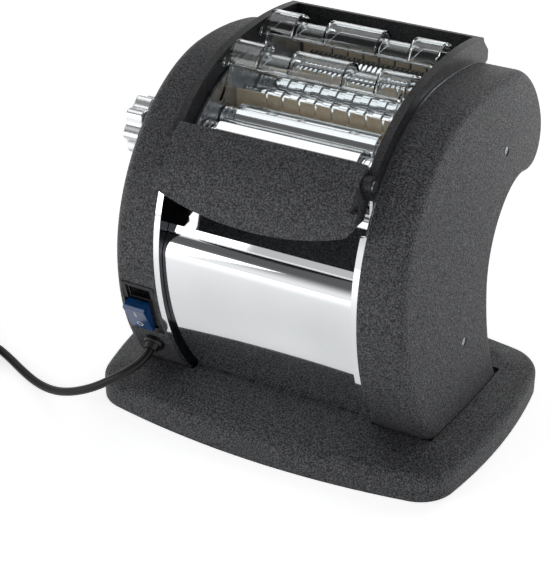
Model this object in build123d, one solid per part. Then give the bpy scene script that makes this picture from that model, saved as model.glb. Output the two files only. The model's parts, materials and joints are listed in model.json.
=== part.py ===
from build123d import *
from math import asin, atan2, cos, degrees, hypot, pi, radians, sin, sqrt, tan
import os

# Electric pasta maker. Millimetres; X runs along the rollers (the switch and the dial are on the
# -X side), -Y is the front, Z is up. Sizes are given from the middle of the base, at ground
# level; the finished parts are moved back so that the origin is under the middle of the whole.

# ---------------------------------------------------------------- driving dimensions
FOOT_H = 2.5                 # rubber feet hold the base clear of the ground
BASE_HALF_W = 155.6          # base: widest half width, half depth, and its bowed sides
BASE_HALF_D = 109.4
BASE_SIDE_BOW_R = 436.0
BASE_FRONT_BOW_R = 650.0
BASE_WIDEST_Y = 16.0
BASE_CORNER_R = 30.0
BASE_RIM_H = 21.0            # height of the base's outer wall
BASE_DECK_H = 29.0           # height of its deck, where the machine stands
BASE_RIM_R = 8.0
BASE_WALL = 3.0
DECK_INSET = 38.0            # from the outer wall to the flat of the deck

CHEEK_OUT = 80.3             # outer faces of the two chrome cheeks
CHEEK_T = 4.6
CHEEK_LIP = 1.3              # thin outer lip left standing beside the guard frame

BARREL_Y, BARREL_Z = 17.0, FOOT_H + 145.0    # centre of the barrel's crown arc
CROWN_R = 120.0
CROWN_Y, CROWN_Z = BARREL_Y - CROWN_R, BARREL_Z + CROWN_R    # its front and its top
BELLY_R = 182.0              # front, below the crown
ROOF_R = 300.0               # top, behind the crown
ROOF_END = 76.0              # degrees, where the roof turns into the tail
TAIL_R = 31.0                # overhanging tail
TAIL_Y, TAIL_Z = BARREL_Y + 87.5, CROWN_Z - 62.0
WAIST_Y, WAIST_Z = BARREL_Y + 4.0, BARREL_Z - 27.0
HEEL_Y = WAIST_Y + 29.0      # rear of the covers at the deck

COVER_HALF_W = CHEEK_OUT + 50.2              # side covers: widest point, wall and edge rounding
COVER_WALL = 3.0
COVER_EDGE_R = 9.0
COVER_WIDEST_Y, COVER_WIDEST_Z = 55.0, FOOT_H + 75.0
COVER_PLAN_R, COVER_ELEV_R = 880.0, 1040.0
COVER_SINK = 3.0             # depth of the groove in the deck that takes the covers' feet

PLATE_IN = CHEEK_OUT - 10.8  # roller frame plates: inner face and thickness
PLATE_T = 2.0
ARM_IN, ARM_OUT = CHEEK_OUT - 8.1, CHEEK_OUT - 1.7           # guard frame arms

ROLLER_HALF = 55.0           # half the width of sheet that the rollers take
COLLAR_R = 9.5               # ringed collars at the rollers' ends
SMOOTH_R = 13.9              # smooth rollers
SMOOTH_GAP = 0.2             # thinnest sheet
SMOOTH_Y, SMOOTH_Z = CROWN_Y + 57.0, CROWN_Z - 42.0
GAP_TRAVEL = 1.8             # how far the dial opens the rear roller
CUTTER_R = 12.6              # cutters: disc radius and groove depth
CUTTER_GROOVE = 1.6
CUTTER_Y, CUTTER_Z = SMOOTH_Y + 59.0, CROWN_Z - 39.0
COMB_T, COMB_GAP = 1.4, 0.5  # comb bars, and how far they stand off the cutters
WIDE_PITCH, WIDE_DISC = 13.2, 6.3            # ribbon cutter, 6.5 mm strands
FINE_PITCH, FINE_DISC = 4.0, 1.7             # fine cutter, 2 mm strands
JOURNAL_R = 4.0
RUN_FIT = 0.05               # radial running clearance
CLEAR = 0.35                 # between parts that move past each other

MOD_FINE, MOD_COARSE = 1.5, 2.0
TEETH_SMOOTH, TEETH_CUTTER, TEETH_LINK = 14, 12, 16
TEETH_MOTOR, TEETH_LAY, TEETH_LAY_PINION = 12, 60, 14
TEETH_IDLER, TEETH_FRONT_IN, TEETH_CUTTER_IN = 42, 18, 20
GEAR_W = 5.0
GEAR_GAP = 1.5
AXLE_R = 4.0                 # fixed axles of the idler and the reduction gear
LAY_ANGLE, MOTOR_ANGLE = 234.0, 268.0        # where the reduction gear and motor hang, degrees

MOTOR_R, MOTOR_L = 38.0, 112.0
MOTOR_SHAFT_R = 4.0

DRUM_INSET = 4.5             # drum panel behind the cheeks' front edges
DRUM_T = 1.2

HOOD_R, HOOD_Y, HOOD_Z = 61.0, CROWN_Y + 56.0, CROWN_Z - 76.0
HOOD_T = 2.6
HOOD_TOP, HOOD_LOW = 117.0, 178.6            # degrees on the hood's arc
HOOD_HALF_W = CHEEK_OUT - 2.6
HOOD_LOW_HALF_W = HOOD_HALF_W - 1.7          # at its lower corners, where it is narrower

PIVOT_Y, PIVOT_Z = CROWN_Y + 24.0, CROWN_Z - 34.0            # guard frame pivot
PIVOT_R = 2.5
KNOB_Y, KNOB_Z, KNOB_R = SMOOTH_Y + 24.0, SMOOTH_Z - 18.5, 23.5
KNOB_GAP, KNOB_LEN = 3.4, 21.0               # behind the knob's middle, and its length
KNOB_PULL = 4.0
KNOB_SHAFT_R = 4.0
KNOB_LOBES = 8

SWITCH_X, SWITCH_H = -CHEEK_OUT - 16.7, BARREL_Z - 50.0
GLAND_X, GLAND_H = -CHEEK_OUT - 15.7, BARREL_Z - 86.0
CORD_R = 3.3

ORIGIN_Y = (TAIL_Y + TAIL_R - BASE_HALF_D) / 2   # middle of the whole depth, base to tail
CHEEK_IN = CHEEK_OUT - CHEEK_T
PLATE_OUT = PLATE_IN + PLATE_T
DECK_Z = FOOT_H + BASE_DECK_H


# ---------------------------------------------------------------- helpers
def polar(centre, radius, angle):
    """Point (y, z) at an angle in degrees from +Y towards +Z."""
    return (centre[0] + radius * cos(radians(angle)), centre[1] + radius * sin(radians(angle)))


def bow(centre, radius, start, end):
    """Arc from one angle to another, as an edge of a (y, z) outline."""
    return ThreePointArc(polar(centre, radius, start), polar(centre, radius, (start + end) / 2),
                         polar(centre, radius, end))


def slab(face, x0, x1):
    """A (y, z) face made solid from x0 to x1."""
    return extrude(Plane.YZ.offset(min(x0, x1)) * face, abs(x1 - x0))


def loop(*edges):
    return make_face(Wire([e for part in edges for e in part.edges()]))


def rod(radius, x0, x1, y, z):
    return slab(Pos(y, z) * Circle(radius), x0, x1)


def tube(r_out, r_in, x0, x1, y, z):
    return slab(Pos(y, z) * (Circle(r_out) - Circle(r_in)), x0, x1)


def block(x0, x1, y0, y1, z0, z1):
    return Pos((x0 + x1) / 2, (y0 + y1) / 2, (z0 + z1) / 2) * Box(x1 - x0, y1 - y0, z1 - z0)


def mirrored(part):
    return mirror(part, about=Plane.YZ)


PARTS = {}


def keep(name, *solids):
    """Moves a piece's solids into the part's own frame and files them under its name."""
    found = [Pos(0, -ORIGIN_Y, 0) * s for piece in solids for s in piece.solids()]
    PARTS[name] = found[0] if len(found) == 1 else Compound(children=found)
    PARTS[name].label = name


# ---------------------------------------------------------------- the barrel's side outline
ROOF_C = (BARREL_Y, BARREL_Z + CROWN_R - ROOF_R)
BELLY_C = (BARREL_Y - CROWN_R + BELLY_R, BARREL_Z)
TAIL_C = (TAIL_Y, TAIL_Z)


def tail_shoulder():
    """Radius and centre of the arc that joins the roof to the tail, tangent to both."""
    u = (cos(radians(ROOF_END)), sin(radians(ROOF_END)))
    p = (ROOF_C[0] + ROOF_R * u[0] - TAIL_Y, ROOF_C[1] + ROOF_R * u[1] - TAIL_Z)
    along = p[0] * u[0] + p[1] * u[1]
    r = (p[0] ** 2 + p[1] ** 2 - TAIL_R ** 2) / (2 * (along - TAIL_R))
    return r, (ROOF_C[0] + (ROOF_R - r) * u[0], ROOF_C[1] + (ROOF_R - r) * u[1])


SHOULDER_R, SHOULDER_C = tail_shoulder()
SHOULDER_END = degrees(atan2(TAIL_Z - SHOULDER_C[1], TAIL_Y - SHOULDER_C[0]))


def waist_arc():
    """Radius and centre of the hollow under the tail, tangent to the tail and to the waist."""
    a, c = WAIST_Y - TAIL_Y, WAIST_Z - TAIL_Z
    r = (a * a + c * c - TAIL_R ** 2) / (2 * (TAIL_R - a))
    return r, (WAIST_Y + r, WAIST_Z)


WAIST_R, WAIST_C = waist_arc()
TAIL_END = degrees(atan2(WAIST_C[1] - TAIL_Z, WAIST_C[0] - TAIL_Y))


def outline(inset, bottom):
    """The barrel's side outline, drawn in by inset, cut level at bottom."""
    drop = WAIST_Z - DECK_Z
    heel_r = (drop ** 2 + (HEEL_Y - WAIST_Y) ** 2) / (2 * (HEEL_Y - WAIST_Y))
    heel_c = (WAIST_Y + heel_r, WAIST_Z)
    front = 180 + degrees(asin((BARREL_Z - bottom) / (BELLY_R - inset)))
    heel = 180 + degrees(asin((WAIST_Z - bottom) / (heel_r + inset)))
    arcs = [
        bow(BELLY_C, BELLY_R - inset, front, 180),
        bow((BARREL_Y, BARREL_Z), CROWN_R - inset, 180, 90),
        bow(ROOF_C, ROOF_R - inset, 90, ROOF_END),
        bow(SHOULDER_C, SHOULDER_R - inset, ROOF_END, SHOULDER_END),
        bow(TAIL_C, TAIL_R - inset, SHOULDER_END, TAIL_END),
        bow(WAIST_C, WAIST_R + inset, TAIL_END + 180, 180),
        bow(heel_c, heel_r + inset, 180, heel),
    ]
    start, end = polar(BELLY_C, BELLY_R - inset, front), polar(heel_c, heel_r + inset, heel)
    return loop(*arcs, Line(end, start))


def belly_y(z, inset=0.0):
    """Front of the barrel at a height below its crown."""
    return BELLY_C[0] - sqrt((BELLY_R - inset) ** 2 - (BARREL_Z - z) ** 2)


def belly_slope(z):
    """Angle by which the front leans under, in degrees, at a height below the crown."""
    return degrees(asin((BARREL_Z - z) / BELLY_R))


# ---------------------------------------------------------------- base
def base_outline(inset):
    """Plan of the base: four bowed sides with round corners."""
    half_w, half_d = BASE_HALF_W - inset, BASE_HALF_D - inset
    side_r, front_r = BASE_SIDE_BOW_R - inset, BASE_FRONT_BOW_R - inset
    far = BASE_HALF_W + 60
    side = Pos(half_w - side_r, BASE_WIDEST_Y) * Circle(side_r)
    other = Pos(side_r - half_w, BASE_WIDEST_Y) * Circle(side_r)
    front = Pos(0, front_r - half_d) * Circle(front_r)
    rear = Pos(0, half_d - front_r) * Circle(front_r)
    plan = Rectangle(2 * far, 2 * far) & side & other & front & rear
    return fillet(plan.vertices(), max(BASE_CORNER_R - inset, BASE_CORNER_R / 2))


def base_solid(inset):
    """Outer form of the base, drawn in by inset: wall, round rim and rising deck."""
    wall = extrude(Plane.XY.offset(FOOT_H) * base_outline(inset), BASE_RIM_H - inset)
    slope = loft([Plane.XY.offset(FOOT_H + BASE_RIM_H - inset) * base_outline(inset),
                  Plane.XY.offset(DECK_Z - inset) * base_outline(inset + DECK_INSET * 0.72)])
    body = wall + slope
    rim = [e for e in body.edges() if abs(e.center().Z - (FOOT_H + BASE_RIM_H - inset)) < 0.6
           and hypot(e.center().X / BASE_HALF_W, e.center().Y / BASE_HALF_D) > 0.9]
    return fillet(rim, BASE_RIM_R - min(inset, 3)) if rim else body


POST_X, POST_Y = BASE_HALF_W - 34, BASE_HALF_D - 30      # screw posts, with a foot under each
BOTTOM_T = 1.5


def make_base():
    shell = base_solid(0) - (base_solid(BASE_WALL) & block(-300, 300, -300, 300, 0, DECK_Z))
    groove = slab(outline(-0.5, DECK_Z - COVER_SINK), CHEEK_IN - 0.3, COVER_HALF_W + 20)
    groove = groove & cover_bulge(0.5)
    groove = groove & block(0, 300, -300, 300, DECK_Z - COVER_SINK - 1, DECK_Z + 40)
    pad = Pos(0, 0, DECK_Z - COVER_SINK - BASE_WALL) * extrude(base_outline(DECK_INSET * 0.66),
                                                              COVER_SINK)
    tray = shell + (pad - block(-60, 60, -46, 46, 0, DECK_Z)) - groove - mirrored(groove)
    corners = [Pos(x, y, FOOT_H) for x in (-POST_X, POST_X) for y in (-POST_Y, POST_Y)]
    posts = [p * Pos(0, 0, 25) * Cylinder(5, 50) for p in corners]
    tray += base_solid(BASE_WALL - 0.5) & (Part() + posts)
    tray -= block(-300, 300, -300, 300, -5, FOOT_H)
    tray -= Pos(0, 0, FOOT_H - 1) * extrude(base_outline(BASE_WALL), 1 + BOTTOM_T)
    keep("base_tray", tray)
    keep("bottom_plate", Pos(0, 0, FOOT_H) * extrude(base_outline(BASE_WALL + CLEAR), BOTTOM_T))
    keep("rubber_feet", *[p * Pos(0, 0, -FOOT_H / 2) * Cylinder(9, FOOT_H) for p in corners])


# ---------------------------------------------------------------- side covers
def cover_bulge(grow):
    """The space inside the right cover's bowed side face, grown outwards by grow."""
    centre_x = COVER_HALF_W - COVER_PLAN_R
    low, high = -60.0, FOOT_H + 340.0
    arc_c = (COVER_HALF_W - COVER_ELEV_R, COVER_WIDEST_Z)

    def edge_at(z):
        return (arc_c[0] + sqrt((COVER_ELEV_R + grow) ** 2 - (z - arc_c[1]) ** 2), z)

    mid = (low + high) / 2
    bowed = ThreePointArc(edge_at(low), edge_at(mid), edge_at(high))
    face = loop(bowed, Polyline(edge_at(high), (centre_x, high), (centre_x, low), edge_at(low)))
    section = Plane(origin=(0, COVER_WIDEST_Y, 0), x_dir=(1, 0, 0), z_dir=(0, -1, 0)) * face
    axis = Axis((centre_x, COVER_WIDEST_Y, 0), (0, 0, 1))
    return revolve(section, axis=axis, revolution_arc=360)


def cover_solid(inset, edge_r):
    """Right cover's outer form (inset 0) or its hollow (inset by the wall)."""
    bottom = DECK_Z - COVER_SINK
    body = slab(outline(inset, bottom), CHEEK_OUT, COVER_HALF_W + 10) & cover_bulge(-inset)
    rim = [e for e in body.edges() if e.center().X > CHEEK_OUT + 8 and e.center().Z > bottom + 1]
    return fillet(rim, edge_r)


def switch_plane():
    """Plane on the left cover's front at the switch: x to the right, y up, z outwards."""
    tilt = radians(belly_slope(SWITCH_H))
    return Plane(origin=(SWITCH_X, belly_y(SWITCH_H), SWITCH_H), x_dir=(1, 0, 0),
                 z_dir=(0, -cos(tilt), -sin(tilt)))


def gland_plane():
    tilt = radians(belly_slope(GLAND_H))
    return Plane(origin=(GLAND_X, belly_y(GLAND_H), GLAND_H), x_dir=(1, 0, 0),
                 z_dir=(0, -cos(tilt), -sin(tilt)))


BEZEL_W, BEZEL_H = 28.0, 48.0                    # switch bezel in the left cover's front
BEZEL_SINK = 1.0
SCREW_SPOTS = ((BARREL_Y + 36.0, CROWN_Z - 55.0), (BARREL_Y - 37.0, BARREL_Z - 53.0))  # (y, z)
SCREW_BOSS_R, SCREW_HEAD_R, SCREW_SINK = 3.9, 3.2, 2.2
KNOB_HOLE_R = KNOB_SHAFT_R + 1.0
GLAND_NECK_R = 6.0
BUSH_R = JOURNAL_R + 2.5                        # outside of the roller bushes


def bulge_x(y, z):
    """How far out the right cover's side face is, before its edge rounding."""
    out = COVER_ELEV_R - sqrt(COVER_ELEV_R ** 2 - (z - COVER_WIDEST_Z) ** 2)
    radius = COVER_PLAN_R - out
    return COVER_HALF_W - COVER_PLAN_R + sqrt(radius ** 2 - (y - COVER_WIDEST_Y) ** 2)


KNOB_NEAR = bulge_x(KNOB_Y, KNOB_Z) + KNOB_GAP
KNOB_FAR = KNOB_NEAR + KNOB_LEN


def make_covers():
    shell = cover_solid(0, COVER_EDGE_R) - cover_solid(COVER_WALL, COVER_EDGE_R - COVER_WALL)
    screws = []
    for y, z in SCREW_SPOTS:
        top = bulge_x(y, z)
        floor = top - SCREW_SINK
        shell += rod(SCREW_BOSS_R, CHEEK_OUT, top - COVER_WALL + 0.5, y, z)
        shell -= rod(SCREW_HEAD_R + 0.2, floor, top + 5, y, z) + rod(1.7, CHEEK_OUT - 1, top, y, z)
        head = rod(SCREW_HEAD_R, floor, floor + 1.5, y, z)
        head += rod(1.6, CHEEK_IN, floor + 0.1, y, z)
        head -= block(floor + 0.7, top, y - 2.2, y + 2.2, z - 0.4, z + 0.4)
        head -= block(floor + 0.7, top, y - 0.4, y + 0.4, z - 2.2, z + 2.2)
        screws += [head, mirrored(head)]
    keep("cover_right", shell)
    keep("cover_screws", *screws)
    left = mirrored(shell)
    left -= switch_plane() * Box(BEZEL_W, BEZEL_H, 24)
    left -= gland_plane() * Cylinder(GLAND_NECK_R + 0.3, 30)
    left -= rod(KNOB_HOLE_R, -KNOB_FAR, -CHEEK_OUT - 5, KNOB_Y, KNOB_Z)
    keep("cover_left", left)


# ---------------------------------------------------------------- cheeks
ARM_FLOOR = 9.0              # depth of the step in each cheek that the guard frame lies in
STEP_LOW = 26.5              # degrees above the horizontal, front end of that step


def shaft_spots():
    """Centres (y, z) of every roller shaft."""
    rear = SMOOTH_Y + 2 * SMOOTH_R + SMOOTH_GAP
    pitch = MOD_COARSE * TEETH_CUTTER
    between_pairs = 2 * (CUTTER_R + COMB_GAP + COMB_T) + CLEAR
    wide, fine = CUTTER_Y, CUTTER_Y + pitch + between_pairs
    return {"smooth_front": (SMOOTH_Y, SMOOTH_Z), "smooth_rear": (rear, SMOOTH_Z),
            "wide_front": (wide, CUTTER_Z), "wide_rear": (wide + pitch, CUTTER_Z),
            "fine_front": (fine, CUTTER_Z), "fine_rear": (fine + pitch, CUTTER_Z)}


def meet(a, ra, b, rb, side):
    """Point at ra from a and rb from b; side +1 or -1 picks which."""
    d = hypot(b[0] - a[0], b[1] - a[1])
    along = (ra ** 2 - rb ** 2 + d ** 2) / (2 * d)
    off = sqrt(ra ** 2 - along ** 2) * side
    u = ((b[0] - a[0]) / d, (b[1] - a[1]) / d)
    return (a[0] + along * u[0] - off * u[1], a[1] + along * u[1] + off * u[0])


SHAFTS = shaft_spots()
IDLER = meet(SHAFTS["smooth_front"], MOD_FINE * (TEETH_FRONT_IN + TEETH_IDLER) / 2,
             SHAFTS["wide_front"], MOD_FINE * (TEETH_CUTTER_IN + TEETH_IDLER) / 2, -1)
LAY = polar(IDLER, MOD_FINE * (TEETH_LAY_PINION + TEETH_IDLER) / 2, LAY_ANGLE)
MOTOR = polar(LAY, MOD_FINE * (TEETH_MOTOR + TEETH_LAY) / 2, MOTOR_ANGLE)


def step_face():
    """The (y, z) area cut from the cheeks' thickness for the guard frame and the hood."""
    outer = outline(-6, DECK_Z)
    inner = outline(ARM_FLOOR, DECK_Z)
    corner = polar((BARREL_Y, BARREL_Z), CROWN_R - ARM_FLOOR, 180 - STEP_LOW)
    reach = polar((BARREL_Y, BARREL_Z), CROWN_R + 30, 180 - STEP_LOW)
    window = make_face(Polyline((corner[0] + 5, corner[1] - 2.5), corner, reach,
                                (reach[0], BARREL_Z + 200), (TAIL_Y + 8, BARREL_Z + 200),
                                (TAIL_Y + 8, BARREL_Z + 60), close=True))
    return (outer - inner) & window


def make_cheeks():
    bottom = DECK_Z - COVER_SINK
    plate = slab(outline(0, bottom), CHEEK_IN, CHEEK_OUT)
    plate -= slab(step_face(), CHEEK_IN - 1, CHEEK_OUT - CHEEK_LIP)
    for y, z in SCREW_SPOTS:
        plate -= rod(1.6, CHEEK_IN - 1, CHEEK_OUT + 1, y, z)
    for name, (y, z) in SHAFTS.items():
        hole = Circle(BUSH_R)
        if name == "smooth_rear":
            wide = 2 * (JOURNAL_R + 1)
            hole = Pos(GAP_TRAVEL / 2, 0) * SlotOverall(wide + GAP_TRAVEL, wide)
        plate -= slab(Pos(y, z) * hole, CHEEK_IN - 1, CHEEK_OUT + 1)
    right = plate
    for y, z in (IDLER, LAY):
        right -= rod(AXLE_R, CHEEK_IN - 1, CHEEK_OUT + 1, y, z)
    right -= rod(MOTOR_SHAFT_R + 4, CHEEK_IN - 1, CHEEK_OUT + 1, *MOTOR)
    keep("cheek_right", right)
    left = mirrored(plate)
    left -= rod(KNOB_SHAFT_R + RUN_FIT, -CHEEK_OUT - 1, -CHEEK_IN + 1, KNOB_Y, KNOB_Z)
    keep("cheek_left", left)


# ---------------------------------------------------------------- front panels
DRUM_CURL_R = 22.0
DRUM_CURL_END = 125.0        # degrees, where the curl at the drum's top stops
DRUM_C = (CROWN_Y + DRUM_INSET + DRUM_CURL_R, BARREL_Z)          # centre of that curl
CHUTE_T = 1.2
CHUTE_LIP, CHUTE_LIP_SLOPE = 4.8, 62.0           # upright front edge of the chute, degrees
CHUTE_FOOT = polar(DRUM_C, DRUM_CURL_R + CHUTE_T / 2 + 0.2, DRUM_CURL_END)
CHUTE_KNEE = polar(CHUTE_FOOT, CHUTE_LIP, CHUTE_LIP_SLOPE)
CHUTE_HEAD = (SMOOTH_Y + 6, SMOOTH_Z - SMOOTH_R - 7)
PLATE_FRONT = SMOOTH_Y - 18                      # front edge of the roller frame's plates


def beside_chute(back, lift):
    """Point (y, z) back from the chute's head by back, and above its middle by lift."""
    slope = atan2(CHUTE_HEAD[1] - CHUTE_KNEE[1], CHUTE_HEAD[0] - CHUTE_KNEE[0])
    return (CHUTE_HEAD[0] - back * cos(slope) - lift * sin(slope),
            CHUTE_HEAD[1] - back * sin(slope) + lift * cos(slope))


def make_front():
    """Drum panel down to the deck, and the chute that rises from its back edge."""
    half = CHEEK_IN - 0.15
    outer_r, inner_r = BELLY_R - DRUM_INSET, BELLY_R - DRUM_INSET - DRUM_T
    low = [180 + degrees(asin((BARREL_Z - DECK_Z - 0.1) / r)) for r in (outer_r, inner_r)]
    face = loop(bow(BELLY_C, outer_r, low[0], 180), bow(DRUM_C, DRUM_CURL_R, 180, DRUM_CURL_END),
                Line(polar(DRUM_C, DRUM_CURL_R, DRUM_CURL_END),
                     polar(DRUM_C, DRUM_CURL_R - DRUM_T, DRUM_CURL_END)),
                bow(DRUM_C, DRUM_CURL_R - DRUM_T, DRUM_CURL_END, 180),
                bow(BELLY_C, inner_r, 180, low[1]),
                Line(polar(BELLY_C, inner_r, low[1]), polar(BELLY_C, outer_r, low[0])))
    keep("drum_panel", slab(face, -half, half))
    ends = [Pos(*p) * Circle(CHUTE_T / 2) for p in (CHUTE_FOOT, CHUTE_KNEE, CHUTE_HEAD)]
    sheet = make_hull(ends[0].edges() + ends[1].edges()) + make_hull(ends[1].edges() + ends[2].edges())
    chute = slab(sheet, -half, half)
    for s in (-1, 1):
        chute -= block(*sorted((s * (PLATE_IN - 0.2), s * CHEEK_OUT)), PLATE_FRONT - 0.5,
                       CHUTE_HEAD[0] + 5, CHUTE_FOOT[1], CROWN_Z)
    keep("chute_plate", chute)


HOOD_DROP = 14.3                                 # how far the hood's front hangs below its corners
HOOD_CORNER_R = 11.0
HOOD_EAR_R, HOOD_EAR_T = 5.4, 2.4
HOOD_BEVEL = 9.0                                 # depth of the bevel at its ends
HOOD_TAPER_H = 22.0                              # height over which its sides draw in


def hood_arc(inset, a0, a1):
    return bow((HOOD_Y, HOOD_Z), HOOD_R - inset, a0, a1)


def hood_shield():
    """Front view of the hood, (x, z): straight above, narrower and bowed below, corners rounded."""
    low = HOOD_Z + HOOD_R * sin(radians(HOOD_LOW))
    corner, top = low + HOOD_DROP, HOOD_Z + HOOD_R
    wide, narrow, shoulder = HOOD_HALF_W, HOOD_LOW_HALF_W, corner + HOOD_TAPER_H
    lower = ThreePointArc((-narrow, corner), (0, low), (narrow, corner))
    sides = Polyline((narrow, corner), (wide, shoulder), (wide, top), (-wide, top),
                     (-wide, shoulder), (-narrow, corner))
    face = make_face(Wire([*lower.edges(), *sides.edges()]))
    return fillet([v for v in face.vertices() if v.Y < corner + 1], HOOD_CORNER_R)


def hood_turned(*section):
    """Solid turned about the hood's axis from its low edge to its top; section is (x, radius)."""
    top = radians(HOOD_TOP)
    start = Plane(origin=(0, HOOD_Y, HOOD_Z), x_dir=(1, 0, 0), z_dir=(0, -sin(top), cos(top)))
    return revolve(start * make_face(Polyline(*section, close=True)),
                   axis=Axis((0, HOOD_Y, HOOD_Z), (1, 0, 0)), revolution_arc=HOOD_LOW - HOOD_TOP)


def make_hood():
    """Curved skin with bevelled ends, end walls in front of the rollers, and ears for the guard."""
    inner = HOOD_R - HOOD_T
    ear_out = ARM_IN - CLEAR
    ear_in = ear_out - HOOD_EAR_T
    body = hood_turned((-ear_in, inner), (ear_in, inner), (ear_in, inner - HOOD_BEVEL),
                       (ear_out, inner - HOOD_BEVEL), (HOOD_HALF_W, HOOD_R - 0.8),
                       (HOOD_HALF_W, HOOD_R), (-HOOD_HALF_W, HOOD_R), (-HOOD_HALF_W, HOOD_R - 0.8),
                       (-ear_out, inner - HOOD_BEVEL), (-ear_in, inner - HOOD_BEVEL))
    # the end walls reach back to the step in the cheeks
    c = (HOOD_Y, HOOD_Z)
    skin = HOOD_R - HOOD_T / 2
    sector = loop(hood_arc(HOOD_T / 2, HOOD_TOP, HOOD_LOW), Line(polar(c, skin, HOOD_LOW), c),
                  Line(c, polar(c, skin, HOOD_TOP)))
    room = Pos(BARREL_Y, BARREL_Z) * Circle(CROWN_R - ARM_FLOOR + CLEAR)
    reach = Pos(PLATE_FRONT - 0.6 - HOOD_R, HOOD_Z) * Rectangle(2 * HOOD_R, 4 * HOOD_R)
    wall = slab((sector - room) & reach, ear_in, ear_out)
    body += wall + mirrored(wall)
    notch = block(ear_out, HOOD_HALF_W + 5, CROWN_Y - 60, PLATE_FRONT + 20,
                  NOSE[1] - NOSE_R - CLEAR, CROWN_Z)
    body = body - notch - mirrored(notch)
    body = body & (Plane.XZ.offset(-200) * extrude(hood_shield(), 400))
    ear = make_hull((Pos(PIVOT_Y, PIVOT_Z) * Circle(HOOD_EAR_R)).edges()
                    + hood_arc(1.0, 118, 135).edges())
    ear = slab(ear, ear_in, ear_out)
    body += ear + mirrored(ear)
    for s in (-1, 1):
        body -= rod(PIVOT_R, s * (ear_in - 5), s * (ear_out + 5), PIVOT_Y, PIVOT_Z)
    keep("hood", body)


BOSS_R = 6.4                                     # end of the guard's arms round their pivot
NOSE = (PIVOT_Y + 1.5, PIVOT_Z - 9.5)            # they run down to a small nose below it
NOSE_R = 2.2


def make_rear():
    """Rear wall between the cheeks and the lip under the tail."""
    half = CHEEK_IN - 0.15
    wall = outline(4, DECK_Z + 0.1) - outline(6.4, DECK_Z + 0.1)
    far = TAIL_Y + 3 * TAIL_R
    keep_low = make_face(Polyline((WAIST_Y - 20, DECK_Z - 20), (far, DECK_Z - 20),
                                  (far, WAIST_Z + 14), (WAIST_Y - 20, WAIST_Z + 14), close=True))
    keep("rear_panel", slab(wall & keep_low, -half, half))
    keep_tail = make_face(Polyline((TAIL_Y - 14, TAIL_Z - 2 * TAIL_R), (far, TAIL_Z - 2 * TAIL_R),
                                   (far, GUARD_LOW - 4), (TAIL_Y - 14, GUARD_LOW - 4), close=True))
    keep("tail_panel", slab(wall & keep_tail, -half, half))


# ---------------------------------------------------------------- roller frame
BLOCK_W, BLOCK_H = 15.0, 13.6                    # sliding bearing block of the rear smooth roller
BLOCK_FIT = 0.05
FLANGE_T = 2.6
TIE_R = 3.0
TIE_SPOTS = (beside_chute(16.2, CHUTE_T / 2 + 1.0 + TIE_R), (SHAFTS["fine_rear"][0], CUTTER_Z - 26))
PLATE_REAR = SHAFTS["fine_rear"][0] + 9


def make_roller_frame():
    low = SMOOTH_Z - 36
    under = SHAFTS["fine_rear"][0] - 6
    window = make_face(Polyline((PLATE_FRONT, low), (PLATE_REAR, low),
                                (PLATE_REAR, CUTTER_Z + 12), (under, BARREL_Z + 200),
                                (PLATE_FRONT, BARREL_Z + 200), close=True))
    plate = slab(outline(5, DECK_Z) & window, PLATE_IN, PLATE_OUT)
    for name, (y, z) in SHAFTS.items():
        if name != "smooth_rear":
            plate -= rod(BUSH_R, PLATE_IN - 1, PLATE_OUT + 1, y, z)
            continue
        plate -= block(PLATE_IN - 1, PLATE_OUT + 1, y - BLOCK_W / 2 - BLOCK_FIT,
                       y + BLOCK_W / 2 + GAP_TRAVEL + 2 * BLOCK_FIT,
                       z - BLOCK_H / 2 - BLOCK_FIT, z + BLOCK_H / 2 + BLOCK_FIT)
    plate -= rod(KNOB_SHAFT_R + RUN_FIT, PLATE_IN - 1, PLATE_OUT + 1, KNOB_Y, KNOB_Z)
    for y, z in TIE_SPOTS:
        plate -= rod(TIE_R, PLATE_IN - 1, PLATE_OUT + 1, y, z)
    keep("roller_plate_right", plate)
    keep("roller_plate_left", mirrored(plate))
    bushes = []
    for name, (y, z) in SHAFTS.items():
        if name != "smooth_rear":
            bush = tube(BUSH_R, JOURNAL_R + RUN_FIT, PLATE_IN, CHEEK_OUT, y, z)
            bushes += [bush, mirrored(bush)]
    keep("roller_bushes", *bushes)
    keep("tie_rods", *[rod(TIE_R, -CHEEK_IN, CHEEK_IN, y, z) for y, z in TIE_SPOTS])


# ---------------------------------------------------------------- rollers and cutters
LAYER_A = CHEEK_OUT + 1.8                        # gear layers, outwards from the right cheek
LAYER_B = LAYER_A + GEAR_W + GEAR_GAP
LAYER_C = LAYER_B + GEAR_W + GEAR_GAP
LAYER_D = LAYER_C + GEAR_W + GEAR_GAP
GEAR_PLATE_X = LAYER_D + GEAR_W + GEAR_GAP
GEAR_PLATE_T = 2.0
SHAFT_OUT = {"smooth_front": LAYER_C, "smooth_rear": LAYER_A, "wide_front": LAYER_C,
             "wide_rear": LAYER_B, "fine_front": LAYER_B, "fine_rear": LAYER_A}


def roller(name, radius):
    """A roller or cutter blank: body, ringed collars and journals, its right end for a gear."""
    y, z = SHAFTS[name]
    body = rod(JOURNAL_R, -CHEEK_OUT - 1, SHAFT_OUT[name] + GEAR_W + 1, y, z)
    body += rod(COLLAR_R, 1 - PLATE_IN, PLATE_IN - 1, y, z) + rod(radius, -ROLLER_HALF, ROLLER_HALF, y, z)
    for i in range(3):
        ring = ROLLER_HALF + 3 + 4 * i
        groove = tube(COLLAR_R + 1, COLLAR_R - 0.8, ring, ring + 1.2, y, z)
        body = body - groove - mirrored(groove)
    return body


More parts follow.
